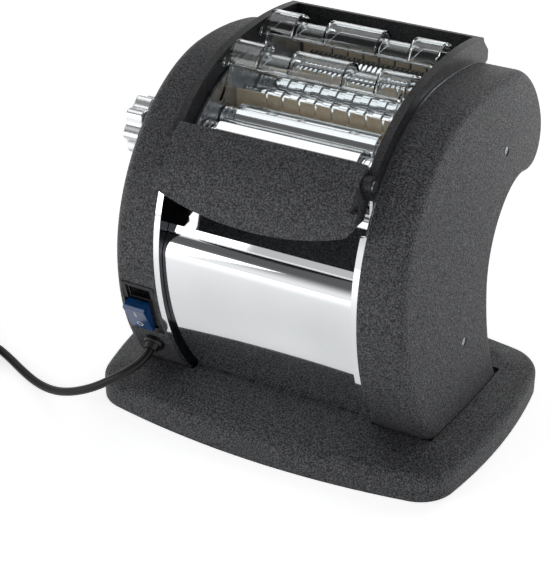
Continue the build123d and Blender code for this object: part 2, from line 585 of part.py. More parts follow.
def discs(pitch, disc, shift):
    """Centres and widths of a cutter's grooves along X."""
    half = (pitch - disc) / 2
    first = -int(ROLLER_HALF / pitch) - 1
    spots = [i * pitch + pitch / 2 + shift for i in range(first, -first)]
    return [(max(c - half, -ROLLER_HALF), min(c + half, ROLLER_HALF)) for c in spots
            if c + half > 0.5 - ROLLER_HALF and c - half < ROLLER_HALF - 0.5]


def make_rollers():
    keep("roller_smooth_front", roller("smooth_front", SMOOTH_R))
    keep("roller_smooth_rear", roller("smooth_rear", SMOOTH_R))
    for kind, pitch, disc in (("wide", WIDE_PITCH, WIDE_DISC), ("fine", FINE_PITCH, FINE_DISC)):
        for side, shift in (("front", 0.0), ("rear", pitch / 2)):
            y, z = SHAFTS[kind + "_" + side]
            body = roller(kind + "_" + side, CUTTER_R)
            body -= [tube(CUTTER_R + 2, CUTTER_R - CUTTER_GROOVE, x0, x1, y, z)
                     for x0, x1 in discs(pitch, disc, shift)]
            keep("cutter_" + kind + "_" + side, body)


# ---------------------------------------------------------------- gears
def gear(module, teeth, x0, centre, phase, bore):
    """Straight-sided spur gear; phase is the angle of one tooth's middle, in degrees."""
    tip, root = module * (teeth / 2 + 0.8), module * (teeth / 2 - 1.15)
    points = []
    for i in range(teeth):
        for radius, share in ((root, -0.29), (tip, -0.12), (tip, 0.12), (root, 0.29)):
            points.append(polar((0, 0), radius, phase + (i + share) * 360 / teeth))
    face = make_face(Polyline(*points, close=True)) - Circle(bore)
    return slab(Pos(*centre) * face, x0, x0 + GEAR_W)


def mesh_phase(teeth_a, phase_a, centre_a, teeth_b, centre_b):
    """Phase of gear b that puts its gap where gear a has a tooth."""
    toward = degrees(atan2(centre_b[1] - centre_a[1], centre_b[0] - centre_a[0]))
    part = ((toward - phase_a) * teeth_a / 360) % 1.0
    return toward + 180 - (0.5 - part) * 360 / teeth_b


def make_gears():
    at, hub = SHAFTS, JOURNAL_R
    phase = {name: mesh_phase(teeth, 0.0, at[mate], teeth, at[name]) for name, mate, teeth in
             (("smooth_rear", "smooth_front", TEETH_SMOOTH), ("wide_rear", "wide_front", TEETH_CUTTER),
              ("fine_rear", "fine_front", TEETH_CUTTER))}
    smooth = 2 * SMOOTH_R + SMOOTH_GAP
    first = {name: gear(smooth / TEETH_SMOOTH if "smooth" in name else MOD_COARSE,
                        TEETH_SMOOTH if "smooth" in name else TEETH_CUTTER,
                        LAYER_A, centre, phase.get(name, 0.0), hub) for name, centre in at.items()}
    # layer B: the rear wide cutter drives the front fine one
    link = (at["fine_front"][0] - at["wide_rear"][0]) / TEETH_LINK
    ph_link = mesh_phase(TEETH_LINK, 0.0, at["wide_rear"], TEETH_LINK, at["fine_front"])
    first["wide_rear"] += gear(link, TEETH_LINK, LAYER_B, at["wide_rear"], 0.0, hub)
    first["wide_rear"] += tube(hub + 2.5, hub, LAYER_A, LAYER_B + 0.1, *at["wide_rear"])
    first["fine_front"] += gear(link, TEETH_LINK, LAYER_B, at["fine_front"], ph_link, hub)
    first["fine_front"] += tube(hub + 2.5, hub, LAYER_A, LAYER_B + 0.1, *at["fine_front"])
    # layer C: the idler drives the front smooth roller and the front wide cutter
    for name, teeth in (("smooth_front", TEETH_FRONT_IN), ("wide_front", TEETH_CUTTER_IN)):
        turned = mesh_phase(TEETH_IDLER, 0.0, IDLER, teeth, at[name])
        first[name] += gear(MOD_FINE, teeth, LAYER_C, at[name], turned, hub)
        first[name] += tube(hub + 2.5, hub, LAYER_A, LAYER_C + 0.1, *at[name])
    for name, solid in first.items():
        keep("gear_" + name, solid)
    run = AXLE_R + RUN_FIT
    idler = gear(MOD_FINE, TEETH_IDLER, LAYER_C, IDLER, 0.0, run)
    for i in range(5):
        idler -= rod(6.0, LAYER_C - 1, LAYER_C + GEAR_W + 1, *polar(IDLER, 18, i * 72))
    idler += tube(run + 2.5, run, CHEEK_OUT + 0.4, LAYER_C + 0.1, *IDLER)
    keep("gear_idler", idler)
    # reduction: pinion in layer C and the big gear in layer D turn as one
    turned = mesh_phase(TEETH_IDLER, 0.0, IDLER, TEETH_LAY_PINION, LAY)
    big = gear(MOD_FINE, TEETH_LAY, LAYER_D, LAY, 0.0, run)
    for i in range(6):
        big -= rod(8.0, LAYER_D - 1, LAYER_D + GEAR_W + 1, *polar(LAY, 27, i * 60))
    big += tube(run + 2.0, run, CHEEK_OUT + 0.4, LAYER_D + 0.1, *LAY)
    big += gear(MOD_FINE, TEETH_LAY_PINION, LAYER_C, LAY, turned, run)
    keep("gear_reduction", big)
    turned = mesh_phase(TEETH_LAY, 0.0, LAY, TEETH_MOTOR, MOTOR)
    keep("gear_motor_pinion", gear(MOD_FINE, TEETH_MOTOR, LAYER_D, MOTOR, turned, MOTOR_SHAFT_R))
    ends = ((IDLER, LAYER_C + GEAR_W + 1), (LAY, GEAR_PLATE_X + GEAR_PLATE_T))
    keep("gear_axles", *[rod(AXLE_R, CHEEK_IN, x1, *centre) for centre, x1 in ends])
    # outer plate of the reduction, on three pillars
    rim = [Pos(*p) * Circle(8) for p in (LAY, MOTOR, *GEAR_POSTS)]
    plate = slab(make_hull([e for c in rim for e in c.edges()]), GEAR_PLATE_X,
                 GEAR_PLATE_X + GEAR_PLATE_T)
    for p in GEAR_POSTS:
        plate += rod(4, CHEEK_OUT, GEAR_PLATE_X + 0.5, *p)
    for spot in SCREW_SPOTS:
        plate -= rod(SCREW_BOSS_R + 1, GEAR_PLATE_X - 1, GEAR_PLATE_X + 3, *spot)
    plate -= rod(AXLE_R, GEAR_PLATE_X - 1, GEAR_PLATE_X + 3, *LAY)
    plate -= rod(MOTOR_SHAFT_R + RUN_FIT, GEAR_PLATE_X - 1, GEAR_PLATE_X + 3, *MOTOR)
    keep("gearbox_plate", plate)


GEAR_POSTS = (polar(MOTOR, 26, 200), polar(MOTOR, 26, 285),
              polar(LAY, TEETH_LAY * MOD_FINE / 2 + 9, 350))


# ---------------------------------------------------------------- thickness dial
CAM_R, CAM_THROW = 5.2, GAP_TRAVEL / 2


def make_dial():
    """Dial shaft with an eccentric at each end, and the sliding blocks that they push."""
    y, z = SHAFTS["smooth_rear"]
    shaft = rod(KNOB_SHAFT_R, 4 - KNOB_FAR, PLATE_OUT + FLANGE_T + 0.9, KNOB_Y, KNOB_Z)
    cam = rod(CAM_R, PLATE_OUT + 0.4, PLATE_OUT + FLANGE_T + 0.6, KNOB_Y - CAM_THROW, KNOB_Z)
    keep("dial_shaft", shaft + cam + mirrored(cam))
    leg_y = KNOB_Y - CAM_THROW + CAM_R + CLEAR
    carrier = block(PLATE_IN, PLATE_OUT + 0.1, y - BLOCK_W / 2, y + BLOCK_W / 2,
                    z - BLOCK_H / 2, z + BLOCK_H / 2)
    carrier += block(PLATE_OUT + 0.1, PLATE_OUT + FLANGE_T, y - BLOCK_W / 2 - 1.5,
                     y + BLOCK_W / 2 + 1.5, z - BLOCK_H / 2 - 2, z + BLOCK_H / 2 + 2)
    carrier += block(PLATE_OUT + 0.1, PLATE_OUT + FLANGE_T, leg_y, leg_y + 3.0,
                     KNOB_Z - CAM_R, z - BLOCK_H / 2)
    carrier -= rod(JOURNAL_R + RUN_FIT, PLATE_IN - 1, PLATE_OUT + 5, y, z)
    keep("bearing_blocks", carrier, mirrored(carrier))
    # knob: a lobed grip on a round skirt, blind bored for the shaft
    lobes = Circle(KNOB_R - 3.4)
    for i in range(KNOB_LOBES):
        lobes += Pos(*polar((0, 0), KNOB_R - 5.0, (i + 0.5) * 360 / KNOB_LOBES)) * Circle(5.0)
    grip = slab(Pos(KNOB_Y, KNOB_Z) * lobes, -KNOB_FAR + 2, -KNOB_NEAR - 5)
    knob = grip + rod(KNOB_R - 7, -KNOB_FAR, -KNOB_NEAR, KNOB_Y, KNOB_Z)
    knob -= rod(KNOB_SHAFT_R + RUN_FIT, -KNOB_FAR + 3.5, -KNOB_NEAR + 1, KNOB_Y, KNOB_Z)
    keep("knob", knob)


# ---------------------------------------------------------------- motor
CASE_T, STATOR_T, AIR_GAP = 2.5, 10.0, 0.8


def make_motor():
    y, z = MOTOR
    half = MOTOR_L / 2
    case = tube(MOTOR_R, MOTOR_R - CASE_T, -half, half, y, z)
    for s in (-1, 1):
        case += tube(MOTOR_R, MOTOR_SHAFT_R + RUN_FIT, s * half, s * (half - 3), y, z)
    keep("motor_case", case)
    bore = MOTOR_R - CASE_T - STATOR_T
    keep("motor_stator", tube(MOTOR_R - CASE_T, bore, -32, 34, y, z))
    keep("motor_rotor", tube(bore - AIR_GAP, MOTOR_SHAFT_R, -30, 32, y, z))
    keep("motor_shaft", rod(MOTOR_SHAFT_R, -half - 3, GEAR_PLATE_X + GEAR_PLATE_T, y, z))
    fan = tube(9, MOTOR_SHAFT_R, -half + 6, -half + 15, y, z)
    for i in range(8):
        blade = block(-half + 6, -half + 15, y + 8.5, y + MOTOR_R - CASE_T - 3, z - 0.8, z + 0.8)
        fan += blade.rotate(Axis((0, y, z), (1, 0, 0)), i * 45)
    keep("motor_fan", fan)
    flange = Pos(y, z) * (Rectangle(2 * MOTOR_R - 6, 24) + Circle(MOTOR_R - 4))
    bracket = slab(flange, half, CHEEK_IN) - rod(MOTOR_R - 12, half - 1, CHEEK_IN + 1, y, z)
    keep("motor_bracket", bracket)


# ---------------------------------------------------------------- combs and scrapers
COMB_UP, COMB_DOWN = 14.0, 10.0                  # comb bar above and below the cutter's axis
FINGER_H = 5.0


def comb(kind, side, sign, pitch, disc, shift):
    """Comb for one cutter: a slotted bar along the roller with a finger in every groove."""
    y, z = SHAFTS[kind + "_" + side]
    root = y + sign * (CUTTER_R + COMB_GAP)
    bar = block(1 - PLATE_IN, PLATE_IN - 1, *sorted((root, root + sign * COMB_T)),
                z - COMB_DOWN, z + COMB_UP)
    tip = y + sign * (CUTTER_R - CUTTER_GROOVE + COMB_GAP)
    fingers = [block(x0 + CLEAR, x1 - CLEAR, *sorted((tip, root + sign * 0.2)),
                     z - FINGER_H / 2, z + FINGER_H / 2)
               for x0, x1 in discs(pitch, disc, shift) if x1 - x0 > 2.5 * CLEAR]
    slots = [block(x1 - 2.0, x1, *sorted((root - sign, root + sign * (COMB_T + 1))), z + 5,
                   z + COMB_UP + 1) for x0, x1 in discs(WIDE_PITCH, WIDE_DISC, 0.0)]
    return bar + fingers - slots


def make_combs():
    for kind, pitch, disc in (("wide", WIDE_PITCH, WIDE_DISC), ("fine", FINE_PITCH, FINE_DISC)):
        keep("comb_" + kind, comb(kind, "front", -1, pitch, disc, 0.0),
             comb(kind, "rear", 1, pitch, disc, pitch / 2))
    blades = []
    for name, angle, gap in (("smooth_front", 232, COMB_GAP), ("smooth_rear", 312, COMB_GAP + GAP_TRAVEL)):
        y, z = SHAFTS[name]
        blade = slab(Pos(SMOOTH_R + gap + 3.5, 0) * Rectangle(7, 1.6), -PLATE_IN, PLATE_IN)
        blade = blade.rotate(Axis.X, angle)
        blades.append(Pos(0, y, z) * blade)
    keep("scrapers", *blades)


# ---------------------------------------------------------------- guard frame and clear flaps
def make_guard():
    """Hinged black frame over the rollers."""
    turn = 97.0
    top_c = polar((BARREL_Y, BARREL_Z), CROWN_R + GUARD_PROUD - GUARD_TOP_R, turn)
    end = turn - 20
    over = loop(bow((BARREL_Y, BARREL_Z), CROWN_R + GUARD_PROUD, 150, turn),
                bow(top_c, GUARD_TOP_R, turn, end),
                Polyline(polar(top_c, GUARD_TOP_R, end), (GUARD_REAR, BARREL_Z), (BARREL_Y, BARREL_Z),
                         polar((BARREL_Y, BARREL_Z), CROWN_R + GUARD_PROUD, 150)))
    ring = over - outline(ARM_FLOOR - CLEAR, DECK_Z)
    window = make_face(Polyline((PIVOT_Y, PIVOT_Z - 3), (PIVOT_Y, BARREL_Z + 200),
                                (GUARD_REAR - 42, BARREL_Z + 200), (GUARD_REAR - 9.4, GUARD_LOW + 17.6),
                                (GUARD_REAR, GUARD_LOW + 8), (GUARD_REAR, GUARD_LOW),
                                (GUARD_REAR - 30, GUARD_LOW - 8), (BARREL_Y, BARREL_Z + 60),
                                close=True))
    arm = ring & window
    nose = make_hull((Pos(PIVOT_Y, PIVOT_Z) * Circle(BOSS_R)).edges()
                     + (Pos(*NOSE) * Circle(NOSE_R)).edges())
    arm = arm + nose - Pos(PIVOT_Y, PIVOT_Z) * Circle(PIVOT_R + RUN_FIT)
    arm = slab(arm, ARM_IN, ARM_OUT)
    for lift in (0, FLAP_STEP[0]):
        y, z = FLAP_PIVOT[0] + lift, FLAP_PIVOT[1] + (FLAP_STEP[1] if lift else 0)
        arm -= rod(FLAP_PIN_R + RUN_FIT, ARM_IN - 1, ARM_IN + 3.5, y, z)
    bar = (ring & window) & make_face(Polyline((GUARD_REAR - GUARD_BAR, BARREL_Z),
                                               (GUARD_REAR + 5, BARREL_Z),
                                               (GUARD_REAR + 5, BARREL_Z + 200),
                                               (GUARD_REAR - GUARD_BAR, BARREL_Z + 200), close=True))
    keep("guard_frame", arm + mirrored(arm) + slab(bar, -ARM_OUT, ARM_OUT))
    pin = rod(PIVOT_R, ARM_IN - CLEAR - HOOD_EAR_T, ARM_OUT + 1.2, PIVOT_Y, PIVOT_Z)
    pin += rod(PIVOT_R + 1.5, ARM_OUT + 0.1, ARM_OUT + 1.2, PIVOT_Y, PIVOT_Z)
    keep("guard_pins", pin, mirrored(pin))


GUARD_PROUD, GUARD_TOP_R = 9.5, 330.0
GUARD_REAR, GUARD_LOW = TAIL_Y + 11.3, CROWN_Z - 16.6
GUARD_BAR = 16.0
FLAP_PIVOT = (CUTTER_Y - 30.0, CROWN_Z + 1.5)
FLAP_STEP = (54.5, 4.0)                          # from the front flap to the rear one
FLAP_PIN_R = 1.5
FLAP_T = 1.8
FLAP_HALF = PLATE_IN - CLEAR
SHEET_HALF = FLAP_HALF - 3.1
NOTCH_MID, NOTCH_W, NOTCH_DROP = 33.5, 24.0, 5.5


def hump(drop):
    """(y, z) outline of the flap's round hump, lowered by drop, measured from its pivot."""
    return loop(ThreePointArc((3.5 + drop, -4.0 - drop), (18.0, 10.0 - drop), (32.5 - drop, -2.0 - drop)),
                Line((32.5 - drop, -2.0 - drop), (3.5 + drop, -4.0 - drop)))


def flap():
    """Clear flap about its pivot: sloping sheet, hollow hump with two notches, ears and pins."""
    outer = slab(hump(0), -FLAP_HALF, FLAP_HALF)
    cavity = [(-FLAP_HALF, -NOTCH_MID - NOTCH_W / 2), (-NOTCH_MID + NOTCH_W / 2, NOTCH_MID - NOTCH_W / 2),
              (NOTCH_MID + NOTCH_W / 2, FLAP_HALF)]
    body = outer
    for x0, x1 in cavity:
        body -= slab(hump(FLAP_T), x0 + FLAP_T, x1 - FLAP_T)
    for s in (-1, 1):
        mid = s * NOTCH_MID
        body -= slab(outer_ring(), mid - NOTCH_W / 2, mid + NOTCH_W / 2)
        body -= slab(hump(NOTCH_DROP + FLAP_T), mid - NOTCH_W / 2 - 0.1, mid + NOTCH_W / 2 + 0.1)
    body -= slab(make_face(Polyline((0, -12), (40, -12), (40, -2.6), (5.6, -4.6), (0, -4.6),
                                    close=True)), -FLAP_HALF - 1, FLAP_HALF + 1)
    sheet = make_face(Polyline((3.5, -4.0), (-7.5, -19.0), (-13.0, -25.5), (-14.4, -24.4),
                               (-9.0, -18.0), (2.6, -2.2), (5.0, -1.4), (5.4, -4.4), close=True))
    body += slab(sheet, -SHEET_HALF, SHEET_HALF)
    cheek = make_face(Polyline((3.5, -4.0), (-7.5, -19.0), (-13.0, -25.5), (3.0, -22.0),
                               (5.0, -4.4), close=True))
    for s in (-1, 1):
        body += slab(cheek, s * SHEET_HALF, s * (SHEET_HALF - 1.4))
        body += slab(hump(0) + Circle(3.4) + make_hull(Circle(3.4).edges()
                     + (Pos(8, 3) * Circle(2)).edges()), s * FLAP_HALF, s * (FLAP_HALF - FLAP_T))
        body += rod(FLAP_PIN_R, s * (FLAP_HALF - 0.5), s * (ARM_IN + 2.5), 0, 0)
    return body


def outer_ring():
    """What a notch takes off the hump."""
    return make_face(Polyline((0, -4.5), (0, 20), (40, 20), (40, -4.5), close=True)) - hump(NOTCH_DROP)


def make_flaps():
    y, z = FLAP_PIVOT
    keep("flap_front", Pos(0, y, z) * flap())
    keep("flap_rear", Pos(0, y + FLAP_STEP[0], z + FLAP_STEP[1]) * flap())


# ---------------------------------------------------------------- switch
ROCKER_W, ROCKER_L = 18.4, 27.0
ROCKER_X, ROCKER_UP = -3.6, -7.5                 # from the middle of the bezel
ROCKER_SINK, ROCKER_REST, ROCKER_FACE = 4.0, 12.0, 8.5


def make_switch():
    """Rocker switch: bezel with a stepped top, body behind it, and the rocker, switched off."""
    face = switch_plane()
    gap = 0.3
    bezel = Pos(0, 0, -BEZEL_SINK - 1.2) * Box(BEZEL_W - 2 * gap, BEZEL_H - 2 * gap, 2.4)
    bezel += Pos(0, 0, -BEZEL_SINK - 4.5) * Box(BEZEL_W - 4, BEZEL_H - 4, 7)
    bezel -= Pos(0, 1, -BEZEL_SINK) * Box(BEZEL_W - 7, BEZEL_H - 8, 3)
    seat = Pos(ROCKER_X, ROCKER_UP, -BEZEL_SINK)
    bezel -= Pos(0, BEZEL_H / 2 - 10, -BEZEL_SINK - 2.5) * Box(BEZEL_W - 11, 9, 3)
    bezel += seat * Pos(0, 0, -14) * Box(ROCKER_W + 2.6, ROCKER_L + 4.6, 18)
    bezel -= seat * Pos(0, 0, -9) * Box(ROCKER_W + 0.8, ROCKER_L + 2.6, 20)
    keep("switch_bezel", face * bezel)
    wedge = make_face(Polyline((-ROCKER_L / 2 + 1, ROCKER_FACE), (ROCKER_L / 2 - 1, ROCKER_FACE),
                               (ROCKER_L / 2, ROCKER_FACE - 2), (ROCKER_L / 2 - 2, -2.5),
                               (5, -7), (-5, -7), (2 - ROCKER_L / 2, -2.5),
                               (-ROCKER_L / 2, ROCKER_FACE - 2), close=True))
    rocker = extrude(Plane.YZ.offset(-ROCKER_W / 2) * wedge, ROCKER_W)
    rocker -= Cylinder(1.5, ROCKER_W + 2, rotation=(0, 90, 0))
    pivot = seat * Pos(0, 0, -ROCKER_SINK)
    keep("switch_rocker", face * pivot * Rot(ROCKER_REST, 0, 0) * rocker)


# ---------------------------------------------------------------- cord
def make_cord():
    """Mains cord: strain relief in the left cover, the free run, a coil and the plug."""
    face = gland_plane()
    gland = Pos(0, 0, GLAND_FLANGE / 2) * Cylinder(GLAND_NECK_R + 2.2, GLAND_FLANGE)
    gland += Pos(0, 0, -COVER_WALL) * Cylinder(GLAND_NECK_R, 2 * COVER_WALL + 2)
    gland += Pos(0, 0, GLAND_FLANGE + RELIEF_L / 2) * Cone(GLAND_NECK_R, CORD_R + 1.2, RELIEF_L)
    gland -= Cylinder(CORD_R, 80)
    keep("cord_gland", face * gland)
    lead = [tuple(face.from_local_coords(Vector(0, 0, d))) for d in (-4.0, GLAND_FLANGE + RELIEF_L + 1)]
    route = lead + CORD_ROUTE
    path = FilletPolyline(*route, radius=cord_radii(route))
    section = Plane(origin=path @ 0, z_dir=path % 0) * Circle(CORD_R)
    run = sweep(section, path=path)
    keep("cord_run", run)
    print("cord run", round(path.length, 1), "volume", round(run.volume),
          "should be", round(pi * CORD_R ** 2 * path.length))
    # the plug lies beside the coil, and its neck rests on the upper turns
    y = COIL_AT[1] + (COIL_FLOOR[0] + COIL_FLOOR[1]) / 2
    x0 = COIL_AT[0] - 14.0
    x1 = x0 - PLUG_NECK_L
    x2 = x1 - PLUG_L
    pins = [rod(PIN_R, x2 - PIN_L, x2 + PIN_IN, y + dy, PLUG_R) for dy in (-PIN_GAP, PIN_GAP)]
    neck = rod(PLUG_NECK_R, x1 - 1, x0, y, PLUG_R)
    keep("cord_plug", rod(PLUG_R, x2, x1, y, PLUG_R) + neck - pins)
    keep("plug_pins", *pins)
    turns = [(r, CORD_R) for r in COIL_FLOOR] + [(r, COIL_LIFT) for r in COIL_UPPER]
    wound = make_hull([e for t in turns for e in (Pos(*t) * Circle(CORD_R)).edges()])
    coil = Pos(*COIL_AT) * revolve(Plane.XZ * wound, Axis.Z)
    keep("cord_coil", coil - neck - run)


GLAND_FLANGE, RELIEF_L = 3.0, 5.0                # strain relief outside the cover
COIL_AT = (-292.0, -116.5)
COIL_FLOOR, COIL_UPPER = (31.8, 45.0), (36.0, 42.6)      # smallest and largest turn, two layers
COIL_LIFT = 9.1                                  # height of the upper layer's turns
PLUG_R, PLUG_L = 17.5, 30.0                      # plug body, its neck and its two pins
PLUG_NECK_R, PLUG_NECK_L = 6.5, 28.0
PIN_R, PIN_L, PIN_IN, PIN_GAP = 2.4, 19.0, 8.0, 9.5


def cord_radii(route):
    """Each bend as large as its two runs allow."""
    radii = []
    for a, b, c in zip(route, route[1:], route[2:]):
        u, v = Vector(*b) - Vector(*a), Vector(*c) - Vector(*b)
        radii.append(0.45 * min(u.length, v.length) / tan(radians(u.get_angle(v) / 2)))
    print("cord radii", [round(r, 1) for r in radii])
    return radii


CORD_ROUTE = [(-97.6, -97.6, 52.4), (-104.4, -106.4, 46.6), (-115.6, -112.4, 38.8),
              (-132.0, -115.8, 27.6),
              (-153.5, -114.3, 15.8), (-174.0, -109.3, 7.4), (-194.5, -102.2, 3.4),
              (-215.5, -93.2, 3.4), (-236.2, -82.4, 3.4), (-258.0, -73.0, 3.4),
              (-281.0, -70.0, 3.4), (-303.0, -76.0, 3.4)]


def build():
    make_base()
    make_covers()
    make_cheeks()
    make_front()
    make_hood()
    make_rear()
    make_roller_frame()
    make_rollers()
    make_gears()
    make_dial()
    make_motor()
    make_combs()
    make_guard()
    make_flaps()
    make_switch()
    make_cord()


build()
os.makedirs("parts", exist_ok=True)
for name, shape in PARTS.items():
    export_step(shape, os.path.join("parts", name + ".step"))
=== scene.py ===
# %% [markdown]
# # Dressing an electric pasta maker
# The solids of the machine come in as a fixed frame: black moulded covers, chrome cheeks and
# panels, ground rollers, ivory combs, clear flaps, a silver dial and a blue rocker. This
# notebook gives each of them its real finish, remakes the pieces whose look depends on a smooth
# surface or on fine repeated detail, lays the mains cord, and sets up a white studio.

# %% Load the frame
import json
from math import cos, pi, radians, sin

import bmesh
import bpy
from mathutils import Matrix, Vector


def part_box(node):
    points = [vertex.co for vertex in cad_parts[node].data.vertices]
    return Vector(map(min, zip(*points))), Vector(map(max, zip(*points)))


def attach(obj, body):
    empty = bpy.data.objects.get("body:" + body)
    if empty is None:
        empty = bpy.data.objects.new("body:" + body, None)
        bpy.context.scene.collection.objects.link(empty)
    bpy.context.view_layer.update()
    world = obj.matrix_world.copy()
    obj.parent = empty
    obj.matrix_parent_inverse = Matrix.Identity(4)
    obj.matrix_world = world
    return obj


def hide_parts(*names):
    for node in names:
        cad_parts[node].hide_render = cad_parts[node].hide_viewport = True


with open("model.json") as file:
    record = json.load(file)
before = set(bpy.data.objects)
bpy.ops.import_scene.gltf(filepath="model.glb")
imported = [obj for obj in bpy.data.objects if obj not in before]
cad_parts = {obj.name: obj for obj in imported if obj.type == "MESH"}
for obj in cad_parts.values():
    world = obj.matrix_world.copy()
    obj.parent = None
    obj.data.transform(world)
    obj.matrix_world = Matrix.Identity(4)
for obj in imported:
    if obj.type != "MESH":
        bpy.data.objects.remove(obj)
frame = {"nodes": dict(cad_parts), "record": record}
nodes = frame["nodes"]
bodies = frame["record"]["behaviour"]["bodies"]
owner = {node: body for body, held in bodies.items() for node in held}
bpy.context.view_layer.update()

# %% [markdown]
# ## The camera
# The camera looks down at the machine from its front right, 28.5 degrees round and 30.7
# degrees up, from about 1.2 m away. Its lens is given by its focal length in pixels of a
# 550 x 572 image, so the perspective is the same at any render size.

# %% Camera
IMAGE_W, IMAGE_H = 550, 572
FOCAL_PX, SENSOR_MM = 1641.7, 36.0
AZIMUTH, ELEVATION = radians(28.5), radians(30.7)
CAMERA_AT = Vector((0.4796, -0.96595, 0.7273))

right = Vector((cos(AZIMUTH), sin(AZIMUTH), 0))
back = Vector((sin(AZIMUTH) * cos(ELEVATION), -cos(AZIMUTH) * cos(ELEVATION), sin(ELEVATION)))
camera_data = bpy.data.cameras.new("camera")
camera_data.sensor_width = SENSOR_MM
camera_data.lens = FOCAL_PX / max(IMAGE_W, IMAGE_H) * SENSOR_MM
camera_data.clip_start, camera_data.clip_end = 0.05, 50
camera = bpy.data.objects.new("camera", camera_data)
bpy.context.scene.collection.objects.link(camera)
looking = Matrix((right, back.cross(right), back)).transposed().to_4x4()
camera.matrix_world = Matrix.Translation(CAMERA_AT) @ looking
bpy.context.scene.camera = camera
print("lens", round(camera_data.lens, 2), "mm")

# %% [markdown]
# ## Helpers for materials
# Colours are written as the hex values one reads off a screen; the shader wants them linear.
# One small function adds any node, sets it up and wires its inputs. It serves geometry trees
# as well as shaders.

# %% Colour and node helpers
def linear(hex_value):
    """An sRGB hex colour as the linear RGBA that a shader socket takes."""
    parts = [int(hex_value[i:i + 2], 16) / 255 for i in (1, 3, 5)]
    return [*(v / 12.92 if v <= 0.04045 else ((v + 0.055) / 1.055) ** 2.4 for v in parts), 1.0]


def add(tree, kind, links=None, **settings):
    """Adds one node: settings are attributes, or sockets by name; links go into its inputs."""
    new = tree.nodes.new(kind)
    for name, value in settings.items():
        if hasattr(new, name):
            setattr(new, name, value)
        else:
            new.inputs[name.replace("_", " ")].default_value = value
    for socket, source in (links or {}).items():
        tree.links.new(source, new.inputs[socket])
    return new


def material(name, **sockets):
    """A new material and its Principled shader, with plain values set on the shader itself."""
    made = bpy.data.materials.new(name)
    made.use_nodes = True
    shader = made.node_tree.nodes["Principled BSDF"]
    for socket, value in sockets.items():
        shader.inputs[socket.replace("_", " ")].default_value = value
    return made, made.node_tree, shader


CELLS_PER_SPOT = 1.6


def spots(tree, size_mm, detail=2.0, roughness=0.5):
    """Noise on Object coordinates whose features are about size_mm across."""
    place = add(tree, "ShaderNodeTexCoord").outputs["Object"]
    return add(tree, "ShaderNodeTexNoise", {"Vector": place}, Scale=1000 / size_mm / CELLS_PER_SPOT,
               Detail=detail, Roughness=roughness).outputs["Fac"]


def ramp(tree, source, *stops):
    """A colour ramp over source, from (position, hex colour) stops."""
    made = add(tree, "ShaderNodeValToRGB", {"Fac": source})
    elements = made.color_ramp.elements
    while len(elements) < len(stops):
        elements.new(0.5)
    for element, (position, colour) in zip(elements, stops):
        element.position = position
        element.color = linear(colour)
    return made.outputs["Color"]


def rough(tree, source, low, high):
    """source stretched to a roughness between low and high."""
    return add(tree, "ShaderNodeMapRange", {"Value": source}, To_Min=low, To_Max=high,
               From_Min=0.3, From_Max=0.7).outputs["Result"]


def bumped(tree, shader, source, height_mm):
    """Lets source raise the surface by up to height_mm in the shading."""
    made = add(tree, "ShaderNodeBump", {"Height": source}, Distance=height_mm / 1000)
    tree.links.new(made.outputs["Normal"], shader.inputs["Normal"])


# %% [markdown]
# ## Black ABS with a spark-eroded grain
# The covers, the base, the hood and the guard are ABS, injection moulded in a mould whose
# walls were roughened by spark erosion. The grain is a field of tiny round pits, which gives
# a soft grey sheen full of light and dark specks. The real pits are about 0.3 mm; they are
# drawn at 0.75 mm, or 0.8 mm on the guard, so that a render at this distance shows them.

# %% Black ABS
def grained_abs(name, pit_mm, dark, light, sheen, depth_mm):
    """Moulded ABS: dark pits between paler grains, which are also the smoother ones."""
    made, tree, shader = material(name, IOR=1.54, Specular_IOR_Level=0.32)
    pits = spots(tree, pit_mm, detail=4.0, roughness=0.75)
    tree.links.new(ramp(tree, pits, (0.44, dark), (0.61, light)), shader.inputs["Base Color"])
    tree.links.new(rough(tree, pits, sheen + 0.12, sheen - 0.08), shader.inputs["Roughness"])
    bumped(tree, shader, pits, depth_mm)
    return made


cover_abs = grained_abs("black_abs_spark_grain", 0.75, "#030304", "#737478", 0.50, 0.5)
guard_abs = grained_abs("black_abs_fine_grain", 0.8, "#0a0a0b", "#3c3d41", 0.40, 0.25)
print("finishes", cover_abs.name, guard_abs.name)

# %% [markdown]
# ## Bright metals
# The drum, the chute and the rims of the cheeks are steel sheet, chrome plated over a polished
# surface: nearly a mirror. The cheeks' flat sides are chrome with a near-black colour, a painted
# dark reflection of the dark parts round them inside the machine. The rollers and cutters are
# ground and chromed, shafts and blocks are turned steel with faint rings round them, and plates
# are zinc plated, a greyer and softer shine.

# %% Chrome, ground steel and zinc
def mirror_chrome(name, polish):
    """Bright chrome: almost one pale tone, with a very faint haze in its polish."""
    made, tree, shader = material(name, Metallic=1.0)
    haze = spots(tree, 40, detail=2.0)
    tone = ramp(tree, haze, (0.3, "#e4e6e8"), (0.7, "#eceef0"))
    tree.links.new(tone, shader.inputs["Base Color"])
    tree.links.new(rough(tree, haze, polish, polish + 0.03), shader.inputs["Roughness"])
    return made


def turned_metal(name, light, dark, shine, ring_mm):
    """Metal whose fine tool marks run round the X axis, ring_mm apart along it."""
    made, tree, shader = material(name, Metallic=1.0)
    place = add(tree, "ShaderNodeTexCoord").outputs["Object"]
    lines = add(tree, "ShaderNodeMapping", {"Vector": place},
                Scale=(1000 / ring_mm, 6, 6)).outputs["Vector"]
    marks = add(tree, "ShaderNodeTexNoise", {"Vector": lines}, Scale=1.0, Detail=3.0).outputs["Fac"]
    tree.links.new(ramp(tree, marks, (0.3, dark), (0.7, light)), shader.inputs["Base Color"])
    tree.links.new(rough(tree, marks, shine, shine + 0.1), shader.inputs["Roughness"])
    bumped(tree, shader, marks, 0.01)
    return made


